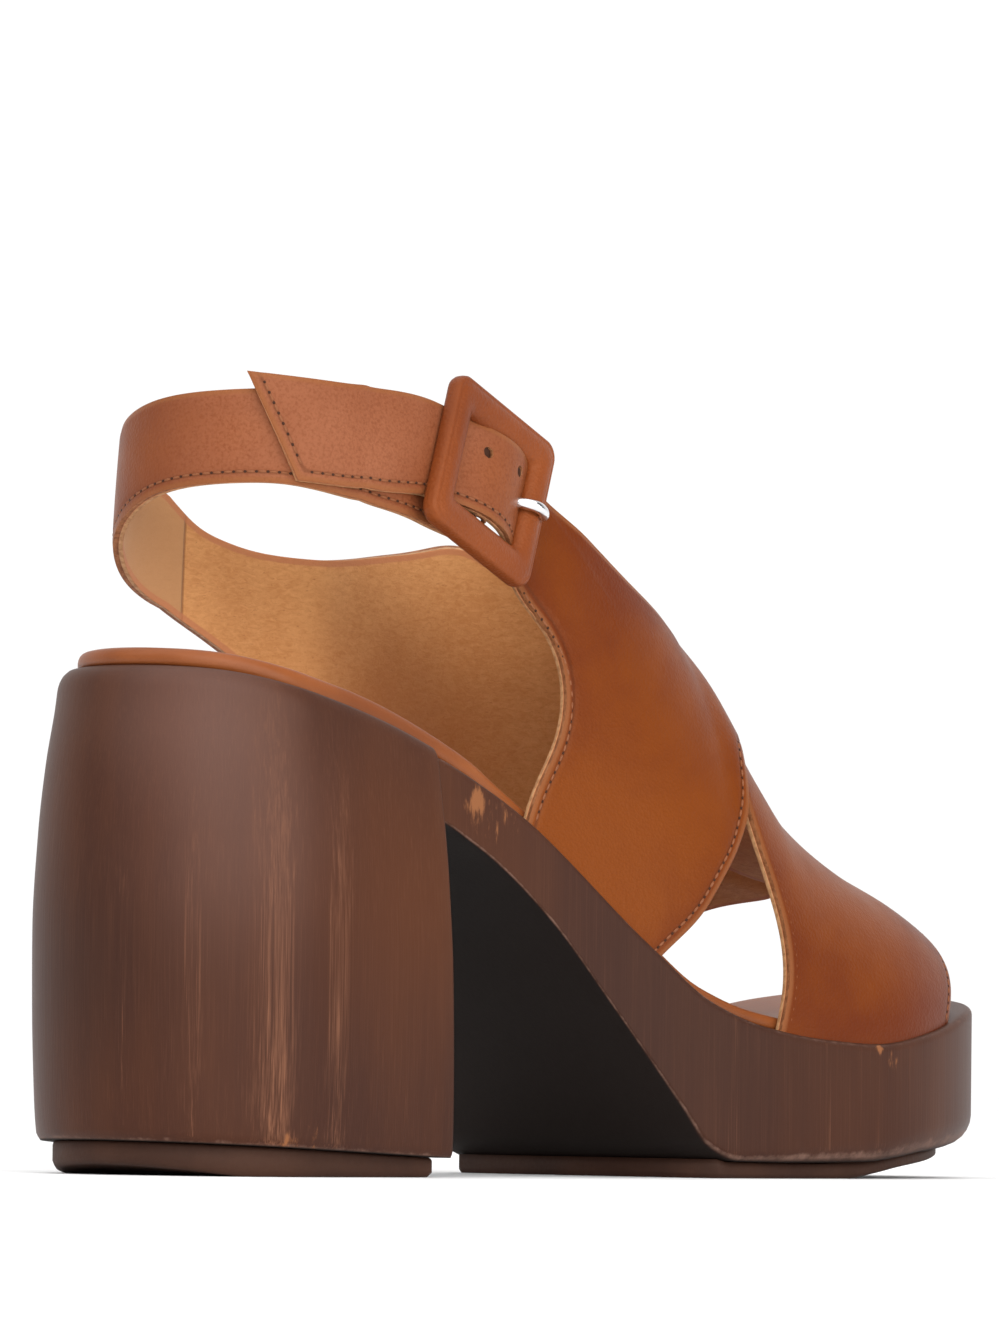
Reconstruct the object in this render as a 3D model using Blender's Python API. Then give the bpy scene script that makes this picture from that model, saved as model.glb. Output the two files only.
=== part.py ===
# Platform slingback sandal, right shoe.
# X runs from the back of the heel to the toe, Y to the inner side of the foot, Z up.
# Sizes and tables are in millimetres, the scene is in metres.

import math

import bmesh
import bpy
from mathutils import Vector

MM = 0.001
GAP = 0.3                   # clearance between pieces that touch
SEAT_GAP = 0.5              # clearance on the curved footbed and under the platform
UPPER_GAP = 0.8             # clearance of the upper's lower edge, which rests on the glued seam

# Driving sizes
LENGTH = 240.0              # heel to toe along the floor
BALL_WIDTH = 84.0
BALL_ALONG = 180.0          # widest place of the forefoot
TOE_FULLNESS = 2.1
TOE_SWING = 3.0             # lean of the toe to the inner side
HEEL_RADIUS = 34.0          # half width and back radius of the heel block at its widest
HEEL_BREAST = 66.0          # front face of the heel block at the footbed
BREAST_FLARE = 3.0          # how far that face steps forward at the floor
HEEL_SIDE_SHARE = 0.6       # the sides lean in less than the back
HEEL_BASE_BACK = 6.8        # underside of the heel block at the back
HEEL_BASE_SLOPE = 0.044
TIP_INSET = 4.5
TIP_ROLL_END = 20.0         # the heel tip is flat in front of this place
TIP_ROLL_RISE = 3.0
SHANK_START = 52.0          # the shank is rooted this far back inside the heel block
SHANK_SINK = 0.6            # and lies this far under the heel seat there
RIM_ROUND = 1.4
TREAD_START = 140.0
TREAD_INSET = 1.2           # tread edge inside the rounded corner of the platform
INSOLE_HEEL_RADIUS = 26.0
WALL = 2.2                  # upper with its lining
STRAP_WIDTH = 18.6
TAIL_THICK = 1.7
LOOP_AXIS = 46.5            # centre of the round back of the sling strap
LOOP_RADIUS = 26.6
BUCKLE_ALONG = 77.6         # centre of the buckle on the lateral side
BUCKLE_HEIGHT = 134.9
BUCKLE_SLOPE = 23.0         # degrees down to the toe
BUCKLE_LONG = 33.4          # outside, along the strap
BUCKLE_TALL = 32.0
BUCKLE_BAR = 5.5
BUCKLE_THICK = 3.8
BUCKLE_CORNER = 3.4
BUCKLE_LIFT = 5.3           # middle of the frame above the middle of the strap wall
CENTRE_BAR_RADIUS = 1.1
CENTRE_BAR_LIFT = 3.5
CHAPE_THICK = 1.2           # leather that wraps the centre bar
PRONG_SLOT = 4.4
PRONG_RADIUS = 0.95
FLAT_REACH = 17.0           # the leather lies flat this far round the buckle
SINK_RUN = 4.0              # the shank rises to the footbed over this length
TIP_STEP = 1.0              # the heel tip's front stands this far before the breast
CHAPE_PLAY = 0.4            # clearance of the leather loop on the centre bar
CHAPE_MARGIN = 0.9          # the loop is narrower than the strap by this on each edge
PRONG_DROP = 0.6            # the prong starts this far under the middle of its bar
PRONG_PLAY = 0.5            # clearance of the hole round the prong
PRONG_POINT = 0.6           # thickness of the prong's end, as a share

# Fineness
CURVE_STEPS = 3             # points laid between two rows of an edge table
SHARP_ANGLE = 40.0          # edges bent by more stay sharp in shading
CORNER_TURNS = (0, 30, 60, 90)
RIM_TURNS = (0, 45, 90)
SLAB_COLUMNS = 66
SLAB_ROWS = 36
CHAPE_SIDES = 14
PRONG_SIDES = 10
BAR_SIDES = 12
INSOLE_ARC_STEPS = 9
TAIL_WIDTH_STEPS = 4
STEP_ALONG = 0.5            # half steps for the slope of the last
STEP_SHARE = 0.004

# Flat pattern of the upper
GIRTH = 100.0               # one whole girth
PATTERN_BACK = 84.0         # end of the strap on the lateral side
PATTERN_FRONT = 224.0
PAST_RIM = 0.03             # edges are drawn this share past the lower rim
RIM_MARGIN = 1.0            # edge points lower than this over the footbed belong past the rim

# Tables, each row starts with the place along the shoe
FOOTBED = {
    "columns": ("along", "rim"),
    "rows": (
        (0, 98.0), (14, 96.6), (30, 93.2), (50, 88.2), (68, 81.8), (90, 71.0), (123, 45.0),
        (137, 34.8), (150, 30.2), (165, 28.0), (180, 27.2), (200, 29.8), (218, 33.8), (240, 37.2),
    ),
}
PLATFORM = {
    "columns": ("along", "underside", "lateral", "medial", "corner"),
    "rows": (
        (50, 70.5, 27.5, 27.5, 0.8),
        (70, 68.2, 28.2, 27.8, 0.8),
        (83, 63.0, 28.9, 28.0, 0.8),
        (98, 49.6, 30.4, 29.8, 0.8),
        (113, 33.5, 32.8, 33.2, 0.8),
        (130, 13.4, 36.2, 38.2, 1.2),
        (136, 6.2, 37.4, 39.6, 1.6),
        (143, 3.4, 38.8, 40.8, 2.0),
        (158, 3.2, 41.0, 42.0, 3.0),
        (180, 3.4, 42.0, 42.0, 4.0),
        (200, 5.2, 42.0, 42.0, 5.4),
        (220, 6.6, 42.0, 42.0, 6.0),
        (240, 8.2, 42.0, 42.0, 6.0),
    ),
}
TREAD = {
    "columns": ("along", "ground"),
    "rows": ((140, 0.0), (177, 0.0), (186, 1.0), (198, 2.4), (220, 4.0), (240, 5.4)),
}
HEEL_WALL = {
    "columns": ("level", "inset"),
    "rows": (
        (0.0, 2.6), (0.015, 1.6), (0.12, 0.8), (0.28, 0.2), (0.45, 0.0), (0.65, 1.0), (0.8, 2.6),
        (0.92, 4.6), (0.965, 5.2), (0.988, 6.2), (1.0, 7.4),
    ),
}
TIP_EDGE = {
    "columns": ("level", "inset"),
    "rows": ((0.0, 0.7), (0.25, 0.0), (0.85, 0.0), (1.0, 0.4)),
}
TREAD_EDGE = {
    "columns": ("level", "inset"),
    "rows": ((0.0, 0.8), (0.3, 0.0), (1.0, 0.0)),
}
INSOLE_EDGE = {
    "columns": ("level", "inset"),
    "rows": ((0.0, 0.5), (0.3, 0.0), (0.65, 0.1), (0.9, 0.6), (1.0, 1.5)),
}
INSOLE = {
    "columns": ("along", "inset", "thick"),
    "rows": (
        (10, 1.6, 3.0), (50, 1.6, 4.0), (78, 2.2, 3.8), (90, 3.7, 3.4), (140, 3.8, 2.6),
        (190, 4.1, 2.6), (208, 5.0, 2.6), (240, 5.6, 2.6),
    ),
}
LAST = {
    "columns": ("along", "inset", "ridge", "lean", "fullness"),
    "rows": (
        (45, -1.0, 194.0, 0, 0.45),
        (70, -0.4, 187.0, 0, 0.45),
        (90, 2.0, 174.0, 0, 0.45),
        (110, 2.0, 153.0, 0, 0.55),
        (130, 2.0, 131.0, 0, 0.70),
        (150, 2.0, 108.6, 1, 0.85),
        (160, 2.1, 93.6, 1, 0.88),
        (170, 2.2, 80.2, 2, 0.90),
        (190, 2.3, 65.3, 3, 0.85),
        (205, 2.9, 58.8, 4, 0.75),
        (225, 4.2, 48.8, 5, 0.65),
    ),
}

# Edges of the leather: lateral quarter and strap in heights, bands in shares of the girth
QUARTER_BACK = {
    "columns": ("along", "height"),
    "rows": (
        (92.4, 69.0), (94.2, 75.0), (98.4, 81.4), (101.8, 88.0), (103.3, 95.5), (102.6, 101.5),
        (99.2, 106.4), (94.0, 111.4), (88.5, 117.2),
    ),
}
QUARTER_THROAT = {
    "columns": ("along", "height"),
    "rows": ((97.5, 135.4), (104.0, 131.0), (116.5, 122.2), (125.2, 116.6), (135.6, 111.4)),
}
QUARTER_FRONT = {
    "columns": ("along", "share"),
    "rows": (
        (124.6, -0.03), (126.2, 0.008), (135.7, 0.061), (141.0, 0.102), (144.8, 0.130), (147.6, 0.158),
        (149.4, 0.183), (150.0, 0.209), (151.0, 0.242),
    ),
}
BAND_FRONT = {
    "columns": ("along", "share"),
    "rows": (
        (158.0, 0.30), (170.0, 0.365), (185.0, 0.425), (198.0, 0.475), (205.0, 0.53), (203.0, 0.61),
        (197.5, 0.70), (192.5, 0.80), (189.0, 0.90), (187.0, 1.0), (186.5, 1.03),
    ),
}
VAMP_FRONT = {
    "columns": ("along", "share"),
    "rows": (
        (158.0, 0.70), (170.0, 0.635), (184.0, 0.58), (196.0, 0.535), (205.0, 0.47), (211.0, 0.38),
        (214.5, 0.28), (215.5, 0.18), (213.0, 0.08), (209.0, 0.0), (208.0, -0.03),
    ),
}
INSTEP_BACK = {
    "columns": ("along", "share"),
    "rows": ((143.0, 0.36), (147.5, 0.42)),
}
BAND_BACK = {
    "columns": ("along", "share"),
    "rows": (
        (150.0, 0.5), (149.8, 0.65), (150.6, 0.80), (152.5, 0.839), (155.0, 0.875), (156.8, 0.908),
        (156.9, 0.938), (156.2, 0.969), (154.1, 1.0), (152.5, 1.03),
    ),
}
INNER_THROAT = {
    "columns": ("along", "share"),
    "rows": ((142.0, 0.575), (147.5, 0.52)),
}
INNER_TOP = {
    "columns": ("along", "height"),
    "rows": ((53.0, 127.7), (60.0, 125.2), (72.0, 122.8), (90.0, 122.2), (108.0, 124.4), (125.0, 126.0)),
}
INNER_BACK = {
    "columns": ("along", "height"),
    "rows": ((92.6, 69.0), (90.6, 79.0), (84.5, 88.0), (74.0, 96.4), (61.0, 103.8)),
}
SLING = {
    "columns": ("unrolled", "lower", "upper"),
    "rows": (
        (47.0, 110.4, 132.6), (35.0, 115.8, 138.6), (24.0, 122.3, 144.0), (4.7, 130.8, 149.2),
        (-17.0, 132.8, 150.8), (-37.0, 132.4, 150.6), (-58.0, 130.6, 148.8), (-71.0, 128.0, 145.6),
    ),
}
TAIL = {
    "columns": ("along", "centre", "half", "lift", "slant"),
    "rows": (
        (28.0, 143.4, 10.4, 1.7, -0.44), (36.0, 142.6, 10.1, 1.7, -0.2), (46.0, 141.8, 9.9, 1.7, 0.0),
        (55.0, 141.2, 9.7, 1.6, 0.1), (61.0, 140.8, 9.2, 1.3, 0.26), (65.4, 140.2, 8.6, 1.0, 0.38),
        (68.0, 139.4, 8.4, 1.35, 0.42), (72.4, 137.8, 8.3, 4.3, 0.42), (77.6, 135.8, 8.3, 6.4, 0.42),
        (83.0, 133.5, 8.3, 4.3, 0.42), (87.4, 131.6, 8.4, 1.35, 0.42), (92.2, 129.4, 8.6, 1.0, 0.44),
        (97.0, 126.8, 9.0, 0.4, 0.5), (102.0, 123.4, 9.4, 0.0, 0.55),
    ),
}
PRONG = {
    "columns": ("along", "rise"),
    "rows": ((4.2, 0.28), (7.2, 0.69), (10.0, 1.0), (13.5, 1.0), (15.9, 0.91)),
}
BUCKLE_PROFILE = {
    "columns": ("depth", "rise"),
    "rows": (
        (0.0, -0.45), (0.0, 0.45), (-0.25, 0.85), (-0.5, 1.0), (-0.75, 0.85), (-1.0, 0.45),
        (-1.0, -0.45), (-0.9, -1.0), (-0.1, -1.0),
    ),
}


def smooth(table, name, at):
    # Curve through one column of a table, with no overshoot between the rows
    spot = table["columns"].index(name)
    xs = [row[0] for row in table["rows"]]
    ys = [row[spot] for row in table["rows"]]
    if at <= xs[0]:
        return ys[0]
    if at >= xs[-1]:
        return ys[-1]
    rises = [(ys[i + 1] - ys[i]) / (xs[i + 1] - xs[i]) for i in range(len(xs) - 1)]
    slopes = [rises[0]]
    for before, after in zip(rises, rises[1:]):
        turning = before * after <= 0
        slopes.append(0.0 if turning else 2 * before * after / (before + after))
    slopes.append(rises[-1])
    i = max(k for k in range(len(xs) - 1) if xs[k] <= at)
    width = xs[i + 1] - xs[i]
    t = (at - xs[i]) / width
    return (
        ys[i] * (1 + 2 * t) * (1 - t) ** 2 + slopes[i] * width * t * (1 - t) ** 2
        + ys[i + 1] * t * t * (3 - 2 * t) + slopes[i + 1] * width * t * t * (t - 1)
    )


def flow(points):
    # Points along a smooth curve through hand-placed points of any dimension
    ends = [points[0], *points, points[-1]]
    out = []
    for a, b, c, d in zip(ends, ends[1:], ends[2:], ends[3:]):
        for k in range(CURVE_STEPS):
            t = k / CURVE_STEPS
            weights = (
                (-t + 2 * t * t - t ** 3) / 2, (2 - 5 * t * t + 3 * t ** 3) / 2,
                (t + 4 * t * t - 3 * t ** 3) / 2, (-t * t + t ** 3) / 2,
            )
            out.append(tuple(sum(w * p[i] for w, p in zip(weights, (a, b, c, d))) for i in range(len(a))))
    out.append(tuple(points[-1]))
    return out


def rim(x):
    return smooth(FOOTBED, "rim", x)


# Plan of the sole

def plan_side(x, side):
    # Y of the sole's edge: side -1 is lateral, +1 medial
    if x <= BALL_ALONG:
        return side * smooth(PLATFORM, "lateral" if side < 0 else "medial", x)
    reach = min((x - BALL_ALONG) / (LENGTH - BALL_ALONG), 1.0)
    return TOE_SWING * reach ** 2 + side * BALL_WIDTH / 2 * math.sqrt(1 - reach ** TOE_FULLNESS)


def stations(first, step=6.5, toe_steps=10):
    count = round((BALL_ALONG - first) / step)
    run = [first + (BALL_ALONG - first) * k / count for k in range(count + 1)]
    toe = LENGTH - BALL_ALONG
    return run + [BALL_ALONG + toe * math.sin(math.pi / 2 * k / toe_steps) for k in range(1, toe_steps)]


def forefoot_plan(first):
    # Lateral edge, toe tip, medial edge
    places = stations(first)
    lateral = [(x, plan_side(x, -1)) for x in places]
    medial = [(x, plan_side(x, 1)) for x in reversed(places)]
    return [*lateral, (LENGTH, TOE_SWING), *medial]


def inset_plan(plan, depth, round_back=False):
    # Moves each point of a plan inwards by depth(x); a straight back end keeps its place
    out = []
    last = len(plan) - 1
    for i, (x, y) in enumerate(plan):
        before = plan[i - 1 if round_back else max(i - 1, 0)]
        after = plan[(i + 1) % len(plan) if round_back else min(i + 1, last)]
        run = Vector((after[0] - before[0], after[1] - before[1])).normalized()
        move = depth(x)
        free = round_back or 0 < i < last
        out.append((x - run.y * move if free else x, y + run.x * move))
    return out


def heel_plan(front, inset, side_inset, arc_steps=14):
    # Lateral side, round back, medial side
    radius = HEEL_RADIUS - inset
    half = HEEL_RADIUS - side_inset
    side = [(front + (HEEL_RADIUS - front) * k / 4, -half) for k in range(4)]
    arc = []
    for k in range(arc_steps + 1):
        turn = math.pi * k / arc_steps
        arc.append((HEEL_RADIUS - radius * math.sin(turn), -half * math.cos(turn)))
    return [*side, *arc, *[(x, -y) for x, y in reversed(side)]]


# Making objects

def material(name, colour, roughness, metallic=0.0):
    made = bpy.data.materials.new(name)
    made.use_nodes = True
    shader = made.node_tree.nodes["Principled BSDF"]
    shader.inputs["Base Color"].default_value = (*colour, 1.0)
    shader.inputs["Roughness"].default_value = roughness
    shader.inputs["Metallic"].default_value = metallic
    return made


def finish_mesh(bm, name):
    # Closes a bmesh in millimetres into a mesh in metres with its faces pointing out
    bmesh.ops.recalc_face_normals(bm, faces=bm.faces)
    if bm.calc_volume(signed=True) < 0:
        bmesh.ops.reverse_faces(bm, faces=bm.faces)
    bmesh.ops.scale(bm, vec=(MM, MM, MM), verts=bm.verts)
    mesh = bpy.data.meshes.new(name)
    bm.to_mesh(mesh)
    bm.free()
    mesh.shade_smooth()
    mesh.set_sharp_from_angle(angle=math.radians(SHARP_ANGLE))
    return mesh


def add_object(name, mesh, finish=None, owner=None):
    made = bpy.data.objects.new(name, mesh)
    bpy.context.collection.objects.link(made)
    made.parent = owner
    if finish:
        mesh.materials.append(finish)
    return made


def combine(target, other, operation):
    # Boolean of two objects; the second stays as a hidden guide
    change = target.modifiers.new(operation.lower(), "BOOLEAN")
    change.operation = operation
    change.object = other
    change.solver = "EXACT"
    other.hide_render = True
    other.display_type = "WIRE"


def evaluated(target):
    bpy.context.view_layer.update()
    graph = bpy.context.evaluated_depsgraph_get()
    return bpy.data.meshes.new_from_object(target.evaluated_get(graph))


def stack(rings):
    # Closed body through plan rings of equal count, capped by strips from side to side.
    # An odd ring starts at a straight end, an even one at the middle of a round end.
    bm = bmesh.new()
    count = len(rings[0])
    rows = [[bm.verts.new(point) for point in ring] for ring in rings]
    for low, high in zip(rows, rows[1:]):
        for i in range(count):
            j = (i + 1) % count
            bm.faces.new((low[i], low[j], high[j], high[i]))
    partner = count - 1 if count % 2 else count
    for row in (rows[0], rows[-1]):
        for i in range(count // 2):
            corners = [row[k] for k in (i, i + 1, partner - i - 1, (partner - i) % count)]
            corners = list(dict.fromkeys(corners))
            if len(corners) > 2:
                bm.faces.new(corners)
    bmesh.ops.triangulate(bm, faces=bm.faces)
    return bm


def lift(plan, height):
    return [(x, y, height(x)) for x, y in plan]


# Sole pieces

def heel_base(x):
    return HEEL_BASE_BACK - HEEL_BASE_SLOPE * x


def heel_block():
    rings = []
    for level, inset in HEEL_WALL["rows"]:
        front = HEEL_BREAST + BREAST_FLARE * (1 - level)
        plan = heel_plan(front, inset, HEEL_SIDE_SHARE * inset)
        rings.append(lift(plan, lambda x: heel_base(x) + level * (rim(x) - heel_base(x))))
    return stack(rings)


def shank_and_platform():
    plan = forefoot_plan(SHANK_START)
    rings = []
    for turn in CORNER_TURNS:
        bend = math.radians(turn)
        ring = inset_plan(plan, lambda x: smooth(PLATFORM, "corner", x) * (1 - math.sin(bend)))
        rise = 1 - math.cos(bend)
        under = [smooth(PLATFORM, "underside", x) + rise * smooth(PLATFORM, "corner", x) for x, y in plan]
        rings.append([(x, y, z) for (x, y), z in zip(ring, under)])
    for turn in RIM_TURNS:
        bend = math.radians(turn)
        ring = inset_plan(plan, lambda x: RIM_ROUND * (1 - math.cos(bend)))
        drop = RIM_ROUND * (1 - math.sin(bend))
        seat = [rim(x) - drop - seat_sink(x) for x, y in plan]
        rings.append([(x, y, z) for (x, y), z in zip(ring, seat)])
    return stack(rings)


def seat_sink(x):
    # The shank's root lies under the heel seat, inside the block
    away = min(max((x - HEEL_BREAST) / SINK_RUN, 0.0), 1.0)
    return SHANK_SINK * (1 - away)


def platform_sole():
    sole = add_object("platform_sole", finish_mesh(heel_block(), "platform_sole"), wood, shoe)
    front = add_object("shank_guide", finish_mesh(shank_and_platform(), "shank_guide"), owner=shoe)
    combine(sole, front, "UNION")


def heel_tip():
    rings = []
    for level, inset in TIP_EDGE["rows"]:
        plan = heel_plan(HEEL_BREAST + TIP_STEP - inset, TIP_INSET + inset, TIP_INSET + inset)
        rings.append(lift(plan, lambda x: tip_level(x, level)))
    add_object("heel_tip", finish_mesh(stack(rings), "heel_tip"), rubber, shoe)


def tip_level(x, level):
    ground = TIP_ROLL_RISE * max(0.0, 1 - x / TIP_ROLL_END)
    return ground + level * (heel_base(x) - GAP - ground)


def forefoot_outsole():
    plan = forefoot_plan(TREAD_START)
    rings = []
    for level, edge in TREAD_EDGE["rows"]:
        ring = inset_plan(plan, lambda x: smooth(PLATFORM, "corner", x) + TREAD_INSET + edge)
        rings.append([(p[0], p[1], tread_level(q[0], level)) for p, q in zip(ring, plan)])
    add_object("forefoot_outsole", finish_mesh(stack(rings), "forefoot_outsole"), rubber, shoe)


def tread_level(x, level):
    ground = smooth(TREAD, "ground", x)
    return ground + level * (smooth(PLATFORM, "underside", x) - SEAT_GAP - ground)


def insole():
    fore = inset_plan(forefoot_plan(LOOP_AXIS), lambda x: smooth(INSOLE, "inset", x))
    arc = []
    for k in range(INSOLE_ARC_STEPS + 1):
        turn = math.pi / 2 * k / INSOLE_ARC_STEPS
        back = HEEL_RADIUS - INSOLE_HEEL_RADIUS * math.cos(turn)
        arc.append((back, -INSOLE_HEEL_RADIUS * math.sin(turn)))
    plan = [*arc, *fore, *[(x, -y) for x, y in reversed(arc[1:])]]
    rings = []
    for level, edge in INSOLE_EDGE["rows"]:
        ring = inset_plan(plan, lambda x: edge, round_back=True)
        tops = [rim(x) + SEAT_GAP + level * smooth(INSOLE, "thick", x) for x, y in plan]
        rings.append([(x, y, z) for (x, y), z in zip(ring, tops)])
    add_object("insole", finish_mesh(stack(rings), "insole"), footbed_leather, shoe)


# Shape of the last, on which the upper lies

def section(x):
    # Base height, lateral and medial half width, ridge height, ridge place and fullness
    inset = smooth(LAST, "inset", x)
    lateral = -plan_side(x, -1) - inset
    medial = plan_side(x, 1) - inset
    ridge, lean, fullness = (smooth(LAST, name, x) for name in ("ridge", "lean", "fullness"))
    return rim(x) + UPPER_GAP, lateral, medial, ridge, lean, fullness


def free_side(x, share):
    # Point of the last in front of the loop's axis: share 0 is the lateral rim, 1 the medial rim
    base, lateral, medial, ridge, lean, fullness = section(x)
    turn = math.pi * share
    across = math.copysign(abs(math.cos(turn)) ** fullness, math.cos(turn))
    half = lateral + lean if across > 0 else medial - lean
    return Vector((x, lean - half * across, base + (ridge - base) * math.sin(turn)))


def share_at(x, height):
    # Share of the girth at which the lateral side of the last reaches a height
    base, _, _, ridge, _, _ = section(x)
    return math.asin((height - base) / (ridge - base)) / math.pi


def normal_of(surface, x, share):
    along = surface(x + STEP_ALONG, share) - surface(x - STEP_ALONG, share)
    around = surface(x, share + STEP_SHARE) - surface(x, share - STEP_SHARE)
    return along.cross(around).normalized()


def buckle_axes():
    # Centre on the last, along the strap to the toe, up across it, and outwards
    share = share_at(BUCKLE_ALONG, BUCKLE_HEIGHT)
    out = normal_of(free_side, BUCKLE_ALONG, share)
    slope = math.radians(BUCKLE_SLOPE)
    along = Vector((math.cos(slope), 0.0, -math.sin(slope)))
    along = (along - along.dot(out) * out).normalized()
    return free_side(BUCKLE_ALONG, share), along, out.cross(along), out


def last_side(x, share):
    # The last, pressed flat round the buckle
    point = free_side(x, share)
    centre, _, _, out = buckle_axes()
    away = (point - centre).length
    flat = min(max((2 * FLAT_REACH - away) / FLAT_REACH, 0.0), 1.0)
    press = flat * flat * (3 - 2 * flat) if share < 0.5 else 0.0
    return point - press * (point - centre).dot(out) * out


def last_point(x, share):
    # The medial side runs on round the heel and forward again on the lateral side
    if x >= LOOP_AXIS:
        return last_side(x, share)
    turn = (LOOP_AXIS - x) / LOOP_RADIUS
    if turn > math.pi:
        return last_side(LOOP_AXIS + LOOP_RADIUS * (turn - math.pi), 1 - share)
    edge = last_side(LOOP_AXIS, share)
    return Vector((LOOP_AXIS - edge.y * math.sin(turn), edge.y * math.cos(turn), edge.z))


def raised(x, share, lift_by):
    return last_point(x, share) + lift_by * normal_of(last_point, x, share)


def outer_place(x):
    # Place on the unrolled strap of a point on the lateral side
    return LOOP_AXIS - math.pi * LOOP_RADIUS - (x - LOOP_AXIS)


def sling_share(place, height):
    # Share on the unrolled strap, counted on the medial side
    turn = (LOOP_AXIS - place) / LOOP_RADIUS
    if turn > math.pi:
        return 1 - share_at(LOOP_AXIS + LOOP_RADIUS * (turn - math.pi), height)
    return 1 - share_at(max(place, LOOP_AXIS), height)


# Upper: pattern pieces are cut flat in places along the last and shares of its girth, then laid on it

def lateral_edge(table):
    # Edge points of the lateral side given in heights; the lowest run on past the rim
    out = []
    for x, height in table["rows"]:
        low = height < rim(x) + RIM_MARGIN
        out.append((x, -PAST_RIM if low else share_at(x, height)))
    return out


def mirrored(points):
    return [(x, 1 - share) for x, share in points]


def outer_band():
    top = [*lateral_edge(QUARTER_THROAT), *INSTEP_BACK["rows"], *BAND_BACK["rows"]]
    front = [*QUARTER_FRONT["rows"], *BAND_FRONT["rows"]]
    return [*flow(lateral_edge(QUARTER_BACK)), *flow(top), *reversed(flow(front))]


def inner_band():
    front = [*mirrored(QUARTER_FRONT["rows"]), *VAMP_FRONT["rows"]]
    top = [
        *reversed(mirrored(BAND_BACK["rows"])), *reversed(INNER_THROAT["rows"]),
        *reversed(mirrored(lateral_edge(INNER_TOP))),
    ]
    heel = mirrored(lateral_edge(INNER_BACK))
    upper_edge = [(place, sling_share(place, high)) for place, low, high in SLING["rows"]]
    lower_edge = [(place, sling_share(place, low)) for place, low, high in SLING["rows"]]
    return [*flow([*top, *upper_edge]), *flow([*reversed(lower_edge), *reversed(heel)]), *flow(front)]


def prism(outline, half_height):
    bm = bmesh.new()
    floor = bm.faces.new([bm.verts.new((x, share * GIRTH, -half_height)) for x, share in outline])
    raised_part = bmesh.ops.extrude_face_region(bm, geom=[floor])
    top = [v for v in raised_part["geom"] if isinstance(v, bmesh.types.BMVert)]
    bmesh.ops.translate(bm, verts=top, vec=(0, 0, 2 * half_height))
    return add_object("pattern_guide", finish_mesh(bm, "pattern_guide"))


def flat_slab(first, last):
    # Gridded sheet of the wall's thickness, ready to be cut to the pattern
    bm = bmesh.new()
    bmesh.ops.create_grid(bm, x_segments=SLAB_COLUMNS, y_segments=SLAB_ROWS, size=0.5)
    bmesh.ops.scale(bm, vec=(last - first, GIRTH, 1), verts=bm.verts)
    bmesh.ops.translate(bm, vec=((first + last) / 2, GIRTH / 2, -WALL / 2), verts=bm.verts)
    sheet = bmesh.ops.extrude_face_region(bm, geom=bm.faces[:])
    top = [v for v in sheet["geom"] if isinstance(v, bmesh.types.BMVert)]
    bmesh.ops.translate(bm, verts=top, vec=(0, 0, WALL))
    return add_object("slab_guide", finish_mesh(bm, "slab_guide"))


def cut_bands():
    # Both bands cut as one wall and laid on the last
    outer = prism(outer_band(), 3 * WALL)
    inner = prism(inner_band(), 4 * WALL)
    combine(outer, inner, "UNION")
    slab = flat_slab(outer_place(PATTERN_BACK), PATTERN_FRONT)
    combine(slab, outer, "INTERSECT")
    slab.hide_render = True
    slab.display_type = "WIRE"
    bm = bmesh.new()
    bm.from_mesh(evaluated(slab))
    bmesh.ops.scale(bm, vec=(1 / MM, 1 / MM, 1 / MM), verts=bm.verts)
    bmesh.ops.triangulate(bm, faces=bm.faces)
    for v in bm.verts:
        v.co = raised(v.co.x, v.co.y / GIRTH, v.co.z)
    return bm


def ribbon(rows):
    # Closed strip through rows of (outer edge points, inner edge points) across its width
    bm = bmesh.new()
    rings = [[bm.verts.new(p) for p in (*outer, *reversed(inner))] for outer, inner in rows]
    count = len(rings[0])
    for a, b in zip(rings, rings[1:]):
        for i in range(count):
            j = (i + 1) % count
            bm.faces.new((a[i], a[j], b[j], b[i]))
    for ring in (rings[0], rings[-1]):
        half = count // 2
        for i in range(half - 1):
            bm.faces.new((ring[i], ring[i + 1], ring[count - 2 - i], ring[count - 1 - i]))
    bmesh.ops.triangulate(bm, faces=bm.faces)
    return bm


def tail_strip():
    # Strap end of the lateral quarter, under and over the buckle and back along the sling strap
    rows = []
    for along, centre, half, lift_by, slant in flow(TAIL["rows"]):
        outer = []
        inner = []
        for k in range(TAIL_WIDTH_STEPS + 1):
            up = half * (2 * k / TAIL_WIDTH_STEPS - 1)
            x = along + slant * up
            place = outer_place(x)
            share = sling_share(place, centre + up)
            outer.append(raised(place, share, lift_by + TAIL_THICK / 2))
            inner.append(raised(place, share, lift_by - TAIL_THICK / 2))
        rows.append((outer, inner))
    return ribbon(rows)


def in_buckle(along, across, out_by):
    centre, a, c, n = buckle_axes()
    return centre + along * a + across * c + out_by * n


def chape_ring(side):
    # Half of the leather loop round the centre bar, beside the prong's slot
    inner = CENTRE_BAR_RADIUS + CHAPE_PLAY
    outer = inner + CHAPE_THICK
    near = PRONG_SLOT / 2 * side
    far = (STRAP_WIDTH / 2 - CHAPE_MARGIN) * side
    bm = bmesh.new()
    rings = []
    for k in range(CHAPE_SIDES):
        turn = 2 * math.pi * k / CHAPE_SIDES
        corners = ((inner, near), (outer, near), (outer, far), (inner, far))
        rings.append([
            bm.verts.new(in_buckle(r * math.cos(turn), c, CENTRE_BAR_LIFT + r * math.sin(turn)))
            for r, c in corners
        ])
    for a, b in zip(rings, [*rings[1:], rings[0]]):
        for i in range(4):
            j = (i + 1) % 4
            bm.faces.new((a[i], a[j], b[j], b[i]))
    bmesh.ops.triangulate(bm, faces=bm.faces)
    return bm


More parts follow.
